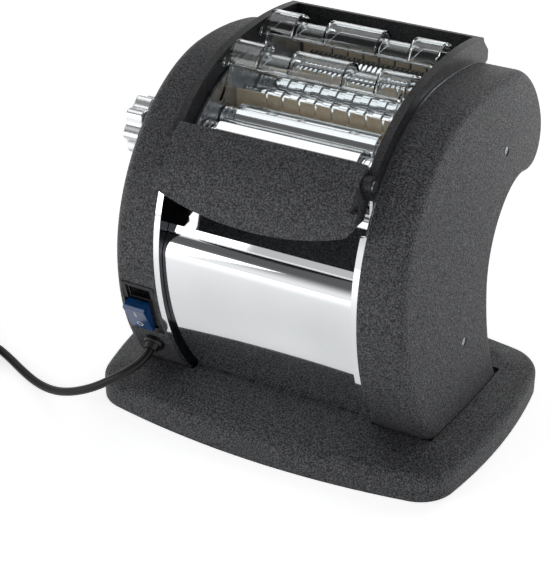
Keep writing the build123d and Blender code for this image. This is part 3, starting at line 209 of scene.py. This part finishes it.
def zinc_plate(name):
    """Zinc plating: grey, with the soft cloudy bloom that the bath leaves."""
    made, tree, shader = material(name, Metallic=1.0)
    bloom = spots(tree, 4.0, detail=4.0)
    tone = ramp(tree, bloom, (0.3, "#b9bcc0"), (0.7, "#dcdfe2"))
    tree.links.new(tone, shader.inputs["Base Color"])
    tree.links.new(rough(tree, bloom, 0.24, 0.4), shader.inputs["Roughness"])
    return made


def painted_dark_chrome(name):
    """Chrome whose near-black colour is a painted dark reflection; its mirror is a little blurred.
    """
    made, tree, shader = material(name, Metallic=1.0)
    haze = spots(tree, 30, detail=2.0)
    tone = ramp(tree, haze, (0.3, "#2c2e31"), (0.7, "#3a3c40"))
    tree.links.new(tone, shader.inputs["Base Color"])
    tree.links.new(rough(tree, haze, 0.10, 0.16), shader.inputs["Roughness"])
    return made


panel_chrome = mirror_chrome("polished_chrome_plate", 0.03)
roller_chrome = mirror_chrome("ground_chromed_steel", 0.06)
# Painted dark reflection: near-black chrome for the cheeks' flat sides, standing for the dark parts
# they mirror.
cheek_side_painted_dark = painted_dark_chrome("chrome_with_painted_dark_reflection")
ground_steel = turned_metal("ground_steel", "#c6c9cc", "#a2a5a9", 0.24, 0.4)
laminations = turned_metal("oiled_laminations", "#6f7276", "#3f4246", 0.4, 0.8)
zinc = zinc_plate("zinc_plated_steel")
screw_nickel = material("bright_nickel_screw", Base_Color=linear("#f2f3f4"), Metallic=0.6,
                        Roughness=0.32)[0]
for finish in (panel_chrome, roller_chrome, cheek_side_painted_dark, ground_steel, laminations, zinc):
    print("finish", finish.name)

# %% [markdown]
# ## Plastics, castings and paint
# The flaps are clear polycarbonate, the combs and bushes ivory acetal, the gears natural
# acetal, the rocker a glossy blue polycarbonate, and the cord soft PVC. The dial is a zinc
# casting with a satin silver finish. All but the flaps are one family of surface: a base colour
# that wanders a little, a roughness that wanders with it, and a shallow bump from the mould.

# %% Moulded and cast finishes
def moulded(name, light, dark, shine, mottle_mm, bump_mm=0.02, **sockets):
    """A surface from a mould, between two near tones, with mottle_mm between its clouds."""
    made, tree, shader = material(name, **sockets)
    mottle = spots(tree, mottle_mm, detail=3.0)
    tree.links.new(ramp(tree, mottle, (0.3, dark), (0.7, light)), shader.inputs["Base Color"])
    tree.links.new(rough(tree, mottle, shine, shine + 0.08), shader.inputs["Roughness"])
    bumped(tree, shader, mottle, bump_mm)
    return made


clear_polycarbonate = material("clear_polycarbonate", Base_Color=linear("#f4f8f9"), Roughness=0.03,
                               IOR=1.5, Transmission_Weight=1.0)[0]
ivory_acetal = moulded("ivory_acetal", "#fae8cd", "#f3d8b4", 0.34, 3.0, IOR=1.48)
gear_acetal = moulded("natural_acetal", "#f0eee6", "#dedbd0", 0.36, 3.0, IOR=1.48)
silver_zinc = moulded("satin_zinc_casting", "#f0f1f2", "#e2e4e6", 0.24, 0.8, Metallic=0.85)
rocker_blue = moulded("blue_polycarbonate", "#17528f", "#103c6e", 0.10, 6.0, 0.0, IOR=1.52,
                      Coat_Weight=0.3, Coat_Roughness=0.04)
mark_white = moulded("white_marking_ink", "#f4f5f5", "#e6e8e8", 0.4, 0.6)
switch_black = moulded("black_polyamide", "#0f0f10", "#08080a", 0.22, 1.2, Specular_IOR_Level=0.4)
cord_pvc = moulded("black_pvc", "#0b0b0c", "#060607", 0.36, 1.2, 0.05, Specular_IOR_Level=0.35)
relief_black = moulded("black_polyamide_relief", "#0e0e0f", "#08080a", 0.26, 1.0, 0.03)
foot_rubber = moulded("black_rubber", "#1f1f20", "#141415", 0.7, 0.8, 0.06)
motor_paint = moulded("grey_motor_paint", "#5a5d61", "#4b4e52", 0.4, 2.0)
copper_lacquer = moulded("lacquered_copper", "#a2552a", "#7d3d1c", 0.3, 0.9, 0.1, Metallic=0.8)
print(len(bpy.data.materials), "materials so far")

# %% [markdown]
# ## Dressing the solids
# A solid comes in as loose triangles. Copying it, merging its doubles and melting its flat
# triangles back into faces lets a small Bevel round every sharp edge, and edges that catch
# the light are what makes moulded plastic and pressed steel look real. The copy then stands
# for the solid, on the same body.

# %% Dress a solid
def carried(piece, name):
    """piece stands for a CAD node: it rides on its body, and the node is hidden."""
    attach(piece, owner[name])
    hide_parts(name)


SAME_POINT = 2e-6
FLAT_WITHIN = radians(0.4)
SHARP_FROM = radians(32)


def dressed(name, finish, edge_mm):
    """A smooth-shaded copy of a CAD node with softened edges, in place of the node."""
    mesh = nodes[name].data.copy()
    mesh.name = name + "_dressed"
    work = bmesh.new()
    work.from_mesh(mesh)
    bmesh.ops.remove_doubles(work, verts=work.verts, dist=SAME_POINT)
    bmesh.ops.dissolve_limit(work, angle_limit=FLAT_WITHIN, verts=work.verts, edges=work.edges)
    work.to_mesh(mesh)
    work.free()
    if mesh.has_custom_normals:
        mesh.attributes.remove(mesh.attributes["custom_normal"])
    mesh.materials.clear()
    mesh.materials.append(finish)
    mesh.shade_smooth()
    mesh.set_sharp_from_angle(angle=SHARP_FROM)
    piece = bpy.data.objects.new(name + "_dressed", mesh)
    bpy.context.scene.collection.objects.link(piece)
    soften = piece.modifiers.new("soften", "BEVEL")
    soften.width = edge_mm / 1000
    soften.segments = 2
    soften.limit_method = "ANGLE"
    soften.angle_limit = SHARP_FROM
    soften.miter_outer = "MITER_ARC"
    weigh = piece.modifiers.new("weigh", "WEIGHTED_NORMAL")
    weigh.keep_sharp = True
    carried(piece, name)
    return piece


def paint(names, finish):
    """Gives CAD nodes whose shape is already right their material."""
    for name in names:
        mesh = nodes[name].data
        if not mesh.materials:
            mesh.materials.append(finish)
        for slot in range(len(mesh.materials)):
            mesh.materials[slot] = finish
    print("painted", len(names), finish.name)


# %% [markdown]
# ## Which solid gets which finish
# The outer pieces are dressed, each with the edge radius that its making leaves: half a
# millimetre on a moulding, a little less on cut sheet and on ground steel. Pieces that stay
# inside, or that are small and round, keep their own mesh and only get their material.

# %% Black mouldings
for name in ("cover_left", "cover_right", "base_tray", "hood"):
    dressed(name, cover_abs, 0.5)
dressed("guard_frame", guard_abs, 0.6)
for name in ("rear_panel", "tail_panel"):
    dressed(name, cover_abs, 0.3)

# %% Bright pieces
FLAT_SIDE = 0.95

for name in ("chute_plate", "drum_panel"):
    dressed(name, panel_chrome, 0.3)
for name in ("cheek_left", "cheek_right"):
    cheek = dressed(name, panel_chrome, 0.3)
    # The flat sides take the chrome whose near-black colour is a painted dark reflection.
    cheek.data.materials.append(cheek_side_painted_dark)
    for polygon in cheek.data.polygons:
        polygon.material_index = int(abs(polygon.normal.x) > FLAT_SIDE)
for name in ("roller_smooth_front", "roller_smooth_rear"):
    dressed(name, roller_chrome, 0.25)
paint([n for n in nodes if n.startswith("cutter_")], roller_chrome)

# %% Clear and small pieces
for name in ("flap_front", "flap_rear"):
    dressed(name, clear_polycarbonate, 0.3)
for name in ("comb_wide", "comb_fine"):
    dressed(name, ivory_acetal, 0.25)
dressed("switch_bezel", switch_black, 0.5)
dressed("switch_rocker", rocker_blue, 0.6)
dressed("cord_plug", cord_pvc, 1.2)
dressed("cord_gland", relief_black, 0.5)
paint(["scrapers", "roller_bushes"], ivory_acetal)
steel_gearing = ("gear_axles", "gear_motor_pinion")
paint([n for n in nodes if n.startswith("gear_") and n not in steel_gearing], gear_acetal)
paint(["tie_rods", "gear_axles", "dial_shaft", "motor_shaft", "bearing_blocks", "guard_pins",
       "gear_motor_pinion", "plug_pins"], ground_steel)
paint(["cover_screws"], screw_nickel)
paint(["gearbox_plate", "motor_bracket", "bottom_plate", "roller_plate_left",
       "roller_plate_right"], zinc)
paint(["rubber_feet"], foot_rubber)
paint(["motor_case"], motor_paint)
paint(["motor_stator"], copper_lacquer)
paint(["motor_rotor"], laminations)
paint(["motor_fan"], switch_black)

# %% [markdown]
# ## Geometry Nodes by script
# A shape that follows a rule is best made by a node tree: its sizes are named inputs, and a
# change of one of them remakes it. The tree is hung on an empty mesh as a modifier, its inputs
# are set by their identifiers, and what it makes is turned into a plain mesh.

# %% Trees and what they build
def node_tree(name, **inputs):
    """A geometry tree with named inputs, each (socket kind, default), and its two end nodes."""
    tree = bpy.data.node_groups.new(name, "GeometryNodeTree")
    for label, (kind, value) in inputs.items():
        socket = tree.interface.new_socket(label, in_out="INPUT", socket_type="NodeSocket" + kind)
        if value is not None:
            socket.default_value = value
    tree.interface.new_socket("Made", in_out="OUTPUT", socket_type="NodeSocketGeometry")
    given = tree.nodes.new("NodeGroupInput").outputs
    return tree, given, tree.nodes.new("NodeGroupOutput").inputs["Made"]


def finished(tree, shape, finish, result):
    """Ends a tree: instances made real, material set."""
    real = add(tree, "GeometryNodeRealizeInstances", {"Geometry": shape})
    coated = add(tree, "GeometryNodeSetMaterial", {"Geometry": real.outputs[0],
                                                   "Material": finish})
    tree.links.new(coated.outputs[0], result)


CREASE = radians(30)


def built(name, tree, place, **values):
    """Runs a tree and returns its mesh, moved to place, as a plain object."""
    piece = bpy.data.objects.new(name, bpy.data.meshes.new(name))
    bpy.context.scene.collection.objects.link(piece)
    modifier = piece.modifiers.new("made", "NODES")
    modifier.node_group = tree
    for item in tree.interface.items_tree:
        if item.in_out == "INPUT" and item.name in values:
            modifier[item.identifier] = values[item.name]
    graph = bpy.context.evaluated_depsgraph_get()
    mesh = bpy.data.meshes.new_from_object(piece.evaluated_get(graph), depsgraph=graph)
    piece.modifiers.remove(modifier)
    mesh.transform(place)
    mesh.name = name
    piece.data = mesh
    mesh.shade_smooth()
    mesh.set_sharp_from_angle(angle=CREASE)
    print(name, len(mesh.polygons), "faces", [round(v * 1000, 1) for v in piece.dimensions])
    return piece


# %% [markdown]
# ## The thickness dial
# The dial is a zinc casting whose rim swells into eight soft lobes for the fingers. That is a
# rule, radius = valley + depth x (1 + cos(8 angle)) / 2, so a circle of points is pushed out by
# it, filled, and extruded. With no depth the same tree makes the round hub that shows at both
# ends of the grip. A Bevel then rounds the rims as the casting does.

# %% A lobed disc
CIRCLE_POINTS = 320

tree, given, result = node_tree("lobed_disc", Radius=("Float", 0.02), Depth=("Float", 0.003),
                                Lobes=("Float", 8.0), Length=("Float", 0.01),
                                Finish=("Material", None))
ring = add(tree, "GeometryNodeCurvePrimitiveCircle", Resolution=CIRCLE_POINTS, Radius=1.0)
at = add(tree, "GeometryNodeInputPosition").outputs[0]
axes = add(tree, "ShaderNodeSeparateXYZ", {0: at}).outputs
angle = add(tree, "ShaderNodeMath", {0: axes["Y"], 1: axes["X"]}, operation="ARCTAN2").outputs[0]
swing = add(tree, "ShaderNodeMath", {0: angle, 1: given["Lobes"]}, operation="MULTIPLY").outputs[0]
wave = add(tree, "ShaderNodeMath", {0: swing}, operation="COSINE").outputs[0]
raised = add(tree, "ShaderNodeMath", {0: wave}, operation="MULTIPLY_ADD")
raised.inputs[1].default_value = raised.inputs[2].default_value = 0.5
lobe = raised.outputs[0]
valley = add(tree, "ShaderNodeMath", {0: given["Radius"], 1: given["Depth"]}, operation="SUBTRACT")
reach = add(tree, "ShaderNodeMath", {0: lobe, 1: given["Depth"], 2: valley.outputs[0]},
            operation="MULTIPLY_ADD").outputs[0]
pushed = add(tree, "ShaderNodeVectorMath", {0: at, "Scale": reach}, operation="SCALE").outputs[0]
rim = add(tree, "GeometryNodeSetPosition", {"Geometry": ring.outputs["Curve"],
                                            "Position": pushed}).outputs[0]
disc = add(tree, "GeometryNodeFillCurve", {"Curve": rim}, mode="NGONS").outputs[0]
wall = add(tree, "GeometryNodeExtrudeMesh", {"Mesh": disc, "Offset Scale": given["Length"]},
           mode="FACES").outputs["Mesh"]
floor_face = add(tree, "GeometryNodeFlipFaces", {"Mesh": disc}).outputs[0]
joined = add(tree, "GeometryNodeJoinGeometry", {"Geometry": wall})
tree.links.new(floor_face, joined.inputs["Geometry"])
closed = add(tree, "GeometryNodeMergeByDistance", {"Geometry": joined.outputs[0]}, Distance=1e-6)
finished(tree, closed.outputs[0], given["Finish"], result)
lobed_disc = tree
print(lobed_disc.name, len(lobed_disc.nodes), "nodes")

# %% Knob
LOBES, LOBE_DEPTH = 8.0, 0.0038
KNOB_SKIRT, KNOB_CAP = 0.0040, 0.0015
GRIP_OVER, HUB_INSET = 0.0006, 0.0065
GRIP_ROUND, HUB_ROUND = 0.0018, 0.0008
RIM_FROM = radians(60)

knob_low, knob_high = (Vector(v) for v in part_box("knob"))
knob_mid = (knob_low + knob_high) / 2
knob_r = (knob_high.z - knob_low.z) / 2
knob_long = knob_high.x - knob_low.x
towards_left = Matrix.Rotation(-pi / 2, 4, "Y")
grip_at = Matrix.Translation((knob_high.x - KNOB_SKIRT, knob_mid.y, knob_mid.z)) @ towards_left
grip = built("knob_grip", lobed_disc, grip_at, Radius=knob_r + GRIP_OVER, Depth=LOBE_DEPTH,
             Lobes=LOBES, Length=knob_long - KNOB_SKIRT - KNOB_CAP, Finish=silver_zinc)
hub_at = Matrix.Translation((knob_high.x, knob_mid.y, knob_mid.z)) @ towards_left
hub = built("knob_hub", lobed_disc, hub_at, Radius=knob_r - HUB_INSET, Depth=0.0,
            Lobes=LOBES, Length=knob_long, Finish=silver_zinc)
for piece, width in ((grip, GRIP_ROUND), (hub, HUB_ROUND)):
    soften = piece.modifiers.new("soften", "BEVEL")
    soften.width = width
    soften.segments = 3
    soften.limit_method = "ANGLE"
    soften.angle_limit = RIM_FROM
    carried(piece, "knob")

# %% [markdown]
# ## Marks on the rocker
# The rocker's two ends carry the usual marks: a bar for on, a ring for off. They are printed
# in white ink, so they are thin plates less than a tenth of a millimetre proud of the face.
# The face leans 28 degrees under the vertical, and lies 8.5 mm out from the rocker's pivot.

# %% Where the rocker's face is
ROCKER_LEAN, ROCKER_FACE = radians(27.95), 0.0085
pivot = next(Vector(j["pos_m"]) for j in frame["record"]["behaviour"]["joints"]
             if j["name"] == "switch_press")
outward = Vector((0, -cos(ROCKER_LEAN), -sin(ROCKER_LEAN)))
upward = Vector((0, -sin(ROCKER_LEAN), cos(ROCKER_LEAN)))
face_axes = Matrix((Vector((1, 0, 0)), upward, outward)).transposed().to_4x4()
print("rocker pivot", [round(v, 4) for v in pivot])


# %% Bar and ring
INK = 0.00008
RING_OUT, RING_IN = 0.0027, 0.0018
RING_STEPS = 48
BAR_HALF_W, BAR_HALF_H = 0.0006, 0.0030
MARK_UP = 0.0062


def printed(name, outer, inner, height):
    """A thin plate between two outlines on the rocker's face, height above its middle."""
    work = bmesh.new()
    count = len(outer)
    rings = []
    for outline, lift in ((outer, 0), (outer, INK), (inner, INK), (inner, 0)):
        rings.append([work.verts.new((x, y + height, lift)) for x, y in outline])
    for low, high in zip(rings, rings[1:] + rings[:1]):
        for i in range(count):
            j = (i + 1) % count
            work.faces.new((low[i], low[j], high[j], high[i]))
    bmesh.ops.remove_doubles(work, verts=work.verts, dist=1e-7)
    bmesh.ops.recalc_face_normals(work, faces=work.faces)
    mesh = bpy.data.meshes.new(name)
    work.to_mesh(mesh)
    work.free()
    mesh.transform(Matrix.Translation(pivot + outward * ROCKER_FACE) @ face_axes)
    mesh.materials.append(mark_white)
    piece = bpy.data.objects.new(name, mesh)
    bpy.context.scene.collection.objects.link(piece)
    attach(piece, "rocker")
    print(name, len(mesh.polygons), "faces")


turns = [2 * pi * i / RING_STEPS for i in range(RING_STEPS)]
printed("mark_off", [(cos(t) * RING_OUT, sin(t) * RING_OUT) for t in turns],
        [(cos(t) * RING_IN, sin(t) * RING_IN) for t in turns], -MARK_UP)
bar = [(x * BAR_HALF_W, y * BAR_HALF_H) for x, y in ((-1, -1), (1, -1), (1, 1), (-1, 1))]
printed("mark_on", bar, [(x * 0.02, y * 0.9) for x, y in bar], MARK_UP)

# %% [markdown]
# ## The mains cord
# The cord is a round 6.6 mm PVC lead, 1.5 m long. It leaves its strain relief, sags to the
# worktop and runs off to the left, where the rest is wound into a neat coil of five turns, three
# on the worktop and two on top of them, ending in its plug. One NURBS spline carries all of
# it: the free stretch has its points listed, and the turns are worked out by a loop.

# %% Route of the cord
ORIGIN_SHIFT = 0.01305
CORD_R = 0.0033
GLAND_AT = Vector((-0.096, -0.0814, 0.0615))
GLAND_OUT = Vector((0, -0.8813, -0.4725))
ROUTE_FROM, ROUTE_TO = -0.004, 0.009
FREE_ROUTE = [(-97.6, -97.6, 52.4), (-104.4, -106.4, 46.6), (-115.6, -112.4, 38.8),
              (-132.0, -115.8, 27.6), (-153.5, -114.3, 15.8), (-174.0, -109.3, 7.4),
              (-194.5, -102.2, 3.4), (-215.5, -93.2, 3.4), (-236.2, -82.4, 3.4),
              (-258.0, -73.0, 3.4), (-281.0, -70.0, 3.4), (-303.0, -76.0, 3.4)]

# %% Turns of the coil
COIL_AT = Vector((-0.292, -0.1165, 0))
COIL_RADII = (0.0442, 0.0384, 0.0318, 0.0353, 0.0419)
COIL_TURNS, TURN_POINTS, FIRST_ANGLE = 4.79, 16, 118.0
FLOOR_Z, UPPER_Z = 0.0034, 0.0091
SLIP, CLIMB_AFTER = 0.24, 3


def eased(t):
    """0 to 1 with a soft start and end."""
    t = min(1.0, max(0.0, t))
    return t * t * (3 - 2 * t)


def coil_point(turn):
    """Point of the coil after some turns: each turn has its radius, and slips into the next."""
    radius, height = COIL_RADII[0], FLOOR_Z
    for step in range(1, len(COIL_RADII)):
        part = eased((turn - step + SLIP / 2) / SLIP)
        radius += (COIL_RADII[step] - COIL_RADII[step - 1]) * part
        height += (UPPER_Z - FLOOR_Z) * part if step == CLIMB_AFTER else 0.0
    angle = radians(FIRST_ANGLE) + 2 * pi * turn
    reach = 2 * radius / (1 + cos(2 * pi / TURN_POINTS))
    return COIL_AT + Vector((reach * cos(angle), reach * sin(angle), height))


# %% The whole route
plug_y = COIL_AT.y + 0.0384
plug_z = 0.0175
route = [GLAND_AT + GLAND_OUT * d for d in (ROUTE_FROM, ROUTE_TO)]
route += [Vector(p) / 1000 for p in FREE_ROUTE]
count = round(COIL_TURNS * TURN_POINTS)
route += [coil_point(i / TURN_POINTS) for i in range(1, count + 1)]
route += [Vector((-0.284, plug_y + 0.0014, 0.0143)), Vector((-0.296, plug_y, 0.0172)),
          Vector((-0.306, plug_y, plug_z)), Vector((-0.314, plug_y, plug_z))]
shift = Vector((0, ORIGIN_SHIFT, 0))
route = [p - shift for p in route]
print("route", len(route), "points, of which the coil has", count)

# %% The cord itself
cord_curve = bpy.data.curves.new("mains_cord", "CURVE")
cord_curve.dimensions = "3D"
cord_curve.bevel_depth = CORD_R
cord_curve.bevel_resolution = 5
cord_curve.resolution_u = 6
cord_curve.use_fill_caps = True
spline = cord_curve.splines.new("NURBS")
spline.points.add(len(route) - 1)
for point, at_m in zip(spline.points, route):
    point.co = (*at_m, 1.0)
spline.order_u = 3
spline.use_endpoint_u = True
cord_curve.materials.append(cord_pvc)
cord = bpy.data.objects.new("mains_cord", cord_curve)
bpy.context.scene.collection.objects.link(cord)
print("cord", round(spline.calc_length(), 3), "m")
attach(cord, "frame")
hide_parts("cord_run", "cord_coil")

# %% [markdown]
# ## Ribs on the strain relief
# A strain relief bends evenly because it is cut into ribs. A node tree repeats one ring along a
# line, each a little smaller than the last. The same tree makes the collar round the cord's
# exit, which is one thick ring, and the grip ribs of the plug, which are all alike.

# %% A row of rings
HOOP_STEPS, SECTION_STEPS = 48, 10

tree, given, result = node_tree("tapering_ribs", Count=("Int", 5), First=("Float", 0.006),
                                Last=("Float", 0.004), Length=("Float", 0.012),
                                Thick=("Float", 0.0012), Finish=("Material", None))
gaps = add(tree, "ShaderNodeMath", {0: given["Count"]}, operation="SUBTRACT")
gaps.inputs[1].default_value = 1.0
step = add(tree, "ShaderNodeMath", {0: given["Length"], 1: gaps.outputs[0]}, operation="DIVIDE")
offset = add(tree, "ShaderNodeCombineXYZ", {"Z": step.outputs[0]})
line = add(tree, "GeometryNodeMeshLine", {"Count": given["Count"], "Offset": offset.outputs[0]})
ring = add(tree, "GeometryNodeCurvePrimitiveCircle", {"Radius": given["First"]},
           Resolution=HOOP_STEPS)
half = add(tree, "ShaderNodeMath", {0: given["Thick"]}, operation="MULTIPLY")
half.inputs[1].default_value = 0.5
section = add(tree, "GeometryNodeCurvePrimitiveCircle", {"Radius": half.outputs[0]},
              Resolution=SECTION_STEPS)
hoop = add(tree, "GeometryNodeCurveToMesh", {"Curve": ring.outputs[0],
                                             "Profile Curve": section.outputs[0]})
index = add(tree, "GeometryNodeInputIndex").outputs[0]
along = add(tree, "ShaderNodeMath", {0: index, 1: gaps.outputs[0]}, operation="DIVIDE")
shrink = add(tree, "ShaderNodeMath", {0: given["Last"], 1: given["First"]}, operation="DIVIDE")
size = add(tree, "ShaderNodeMapRange", {"Value": along.outputs[0], "To Max": shrink.outputs[0]},
           To_Min=1.0)
placed = add(tree, "GeometryNodeInstanceOnPoints", {"Points": line.outputs[0],
                                                    "Instance": hoop.outputs[0],
                                                    "Scale": size.outputs[0]})
finished(tree, placed.outputs[0], given["Finish"], result)
ring_row = tree
print(ring_row.name, len(ring_row.nodes), "nodes")

# %% Collar and ribs
COLLAR_R, COLLAR_OUT, COLLAR_THICK = 0.0068, 0.0026, 0.0028
RELIEF_OUT, PLUG_RIB_R, PLUG_RIBS_X = 0.0046, 0.0171, -0.336


def ribs(name, foot, direction, slot, **sizes):
    """Rings that stand round a line from foot in a direction."""
    turned = direction.to_track_quat("Z", "Y").to_matrix().to_4x4()
    piece = built(name, ring_row, Matrix.Translation(foot - shift) @ turned, **sizes)
    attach(piece, "frame")
    return piece


collar = ribs("relief_collar", GLAND_AT + GLAND_OUT * COLLAR_OUT, GLAND_OUT, "grey_rubber",
              Count=1, First=COLLAR_R, Last=COLLAR_R, Length=0.001, Thick=COLLAR_THICK,
              Finish=relief_black)
relief_ribs = ribs("relief_ribs", GLAND_AT + GLAND_OUT * RELIEF_OUT, GLAND_OUT, "grey_rubber",
                   Count=3, First=0.0054, Last=0.0047, Length=0.0030, Thick=0.0011,
                   Finish=relief_black)
plug_ribs = ribs("plug_ribs", Vector((PLUG_RIBS_X, plug_y, plug_z)), Vector((-1, 0, 0)),
                 "cord_pvc", Count=6, First=PLUG_RIB_R, Last=PLUG_RIB_R, Length=0.022,
                 Thick=0.0016, Finish=cord_pvc)

# %% [markdown]
# ## The studio
# A white floor and a sky do most of the lighting. The sky is bright at the horizon and dark
# overhead, as in a studio with a black ceiling, so the chrome and the rollers get dark bands
# where they face up. One bright card overhead is there for mirrors only: it puts the sheen on
# the flaps and the rollers. The floor shows the camera a pure white; to mirrors it shows a
# painted shade that darkens towards the machine, standing for the machine's shade on the
# floor near it. Three broad, weak lamps, at the right, the left and behind, model the black
# mouldings.

# %% Floor
FLOOR_HALF = 12.0
FLOOR_GLOW = 0.72
MIRROR_NEAR, MIRROR_FAR = 0.50, 1.25
NEAR_M, FAR_M = 0.2, 1.0

work = bmesh.new()
work.faces.new([work.verts.new((x * FLOOR_HALF, y * FLOOR_HALF, 0)) for x, y in
                ((-1, -1), (1, -1), (1, 1), (-1, 1))])
floor_mesh = bpy.data.meshes.new("floor")
work.to_mesh(floor_mesh)
work.free()
floor = bpy.data.objects.new("floor", floor_mesh)
bpy.context.scene.collection.objects.link(floor)
print("floor", 2 * FLOOR_HALF, "m wide")

# %% The floor's glow
floor_finish, tree, shader = material("white_sweep", Base_Color=linear("#f4f4f4"), Roughness=0.9,
                                      Specular_IOR_Level=0.1)
path = add(tree, "ShaderNodeLightPath").outputs
mirror_or_eye = add(tree, "ShaderNodeMath", {0: path["Is Camera Ray"], 1: path["Is Glossy Ray"]},
                    operation="MAXIMUM")
seen = add(tree, "ShaderNodeMath", {0: mirror_or_eye.outputs[0], 1: path["Is Transmission Ray"]},
           operation="MAXIMUM")
where = add(tree, "ShaderNodeNewGeometry").outputs["Position"]
away = add(tree, "ShaderNodeVectorMath", {0: where}, operation="LENGTH").outputs["Value"]
# Painted shade: to mirrors the floor glows less near the machine, for the shade the machine casts
# there.
painted_floor_shade = add(tree, "ShaderNodeMapRange", {"Value": away}, From_Min=NEAR_M, From_Max=FAR_M,
               To_Min=MIRROR_NEAR, To_Max=MIRROR_FAR).outputs["Result"]
plain = add(tree, "ShaderNodeMath", {0: seen.outputs[0]}, operation="MULTIPLY")
plain.inputs[1].default_value = FLOOR_GLOW
glossy = add(tree, "ShaderNodeMix", {"Factor": path["Is Glossy Ray"], "A": plain.outputs[0],
                                     "B": painted_floor_shade})
light = add(tree, "ShaderNodeEmission", {"Strength": glossy.outputs["Result"]})
both = add(tree, "ShaderNodeAddShader", {0: shader.outputs["BSDF"], 1: light.outputs["Emission"]})
tree.links.new(both.outputs["Shader"], tree.nodes["Material Output"].inputs["Surface"])
floor_mesh.materials.append(floor_finish)

# %% Sky and card
SKY_HORIZON, SKY_TOP = 1.0, 0.12
HORIZON_UP_TO, TOP_FROM = 0.12, 0.62
CARD_TOWARD = Vector((-0.41, 0.10, 0.91))
CARD_SPREAD, CARD_CORE, CARD_STRENGTH = radians(30), 0.7, 1.3

world = bpy.data.worlds.new("studio")
bpy.context.scene.world = world
world.use_nodes = True
tree = world.node_tree
way = add(tree, "ShaderNodeTexCoord").outputs["Generated"]
height = add(tree, "ShaderNodeSeparateXYZ", {0: way}).outputs["Z"]
dome = add(tree, "ShaderNodeMapRange", {"Value": height}, From_Min=HORIZON_UP_TO,
           From_Max=TOP_FROM, To_Min=SKY_HORIZON, To_Max=SKY_TOP,
           interpolation_type="SMOOTHSTEP")
path = add(tree, "ShaderNodeLightPath").outputs
card = add(tree, "ShaderNodeVectorMath", {0: way}, operation="DOT_PRODUCT")
card.inputs[1].default_value = CARD_TOWARD.normalized()
card_glow = add(tree, "ShaderNodeMapRange", {"Value": card.outputs["Value"]},
                From_Min=cos(CARD_SPREAD), From_Max=cos(CARD_SPREAD * CARD_CORE), To_Min=0.0,
                To_Max=CARD_STRENGTH, interpolation_type="SMOOTHSTEP")
shine = add(tree, "ShaderNodeMath", {0: card_glow.outputs[0], 1: path["Is Glossy Ray"]},
            operation="MULTIPLY")
lit = add(tree, "ShaderNodeMath", {0: dome.outputs[0], 1: shine.outputs[0]}, operation="ADD")
level = add(tree, "ShaderNodeMath", {0: lit.outputs[0], 1: path["Is Camera Ray"]},
            operation="MAXIMUM")
sky = tree.nodes["Background"]
tree.links.new(level.outputs[0], sky.inputs["Strength"])
sky.inputs["Color"].default_value = linear("#ffffff")
print("sky", SKY_HORIZON, "at the horizon,", SKY_TOP, "overhead")


# %% Lamps
LIT_AT = Vector((0, 0, 0.1))


def lamp(name, at_m, size, watts):
    """A square area lamp of some size that faces the middle of the machine."""
    data = bpy.data.lights.new(name, "AREA")
    data.shape = "SQUARE"
    data.size = size
    data.energy = watts
    made = bpy.data.objects.new(name, data)
    made.location = at_m
    made.rotation_mode = "QUATERNION"
    made.rotation_quaternion = (LIT_AT - Vector(at_m)).to_track_quat("-Z", "Y")
    bpy.context.scene.collection.objects.link(made)
    print(name, watts, "W,", size, "m")


lamp("right_lamp", (1.9, -1.0, 1.1), 1.3, 3)
lamp("left_lamp", (-1.3, -1.5, 0.7), 1.0, 6)
lamp("back_lamp", (0.3, 1.8, 1.6), 1.2, 8)

# %% [markdown]
# ## The end
# The last line sets the view transform to Standard.

bpy.context.scene.view_settings.view_transform = "Standard"
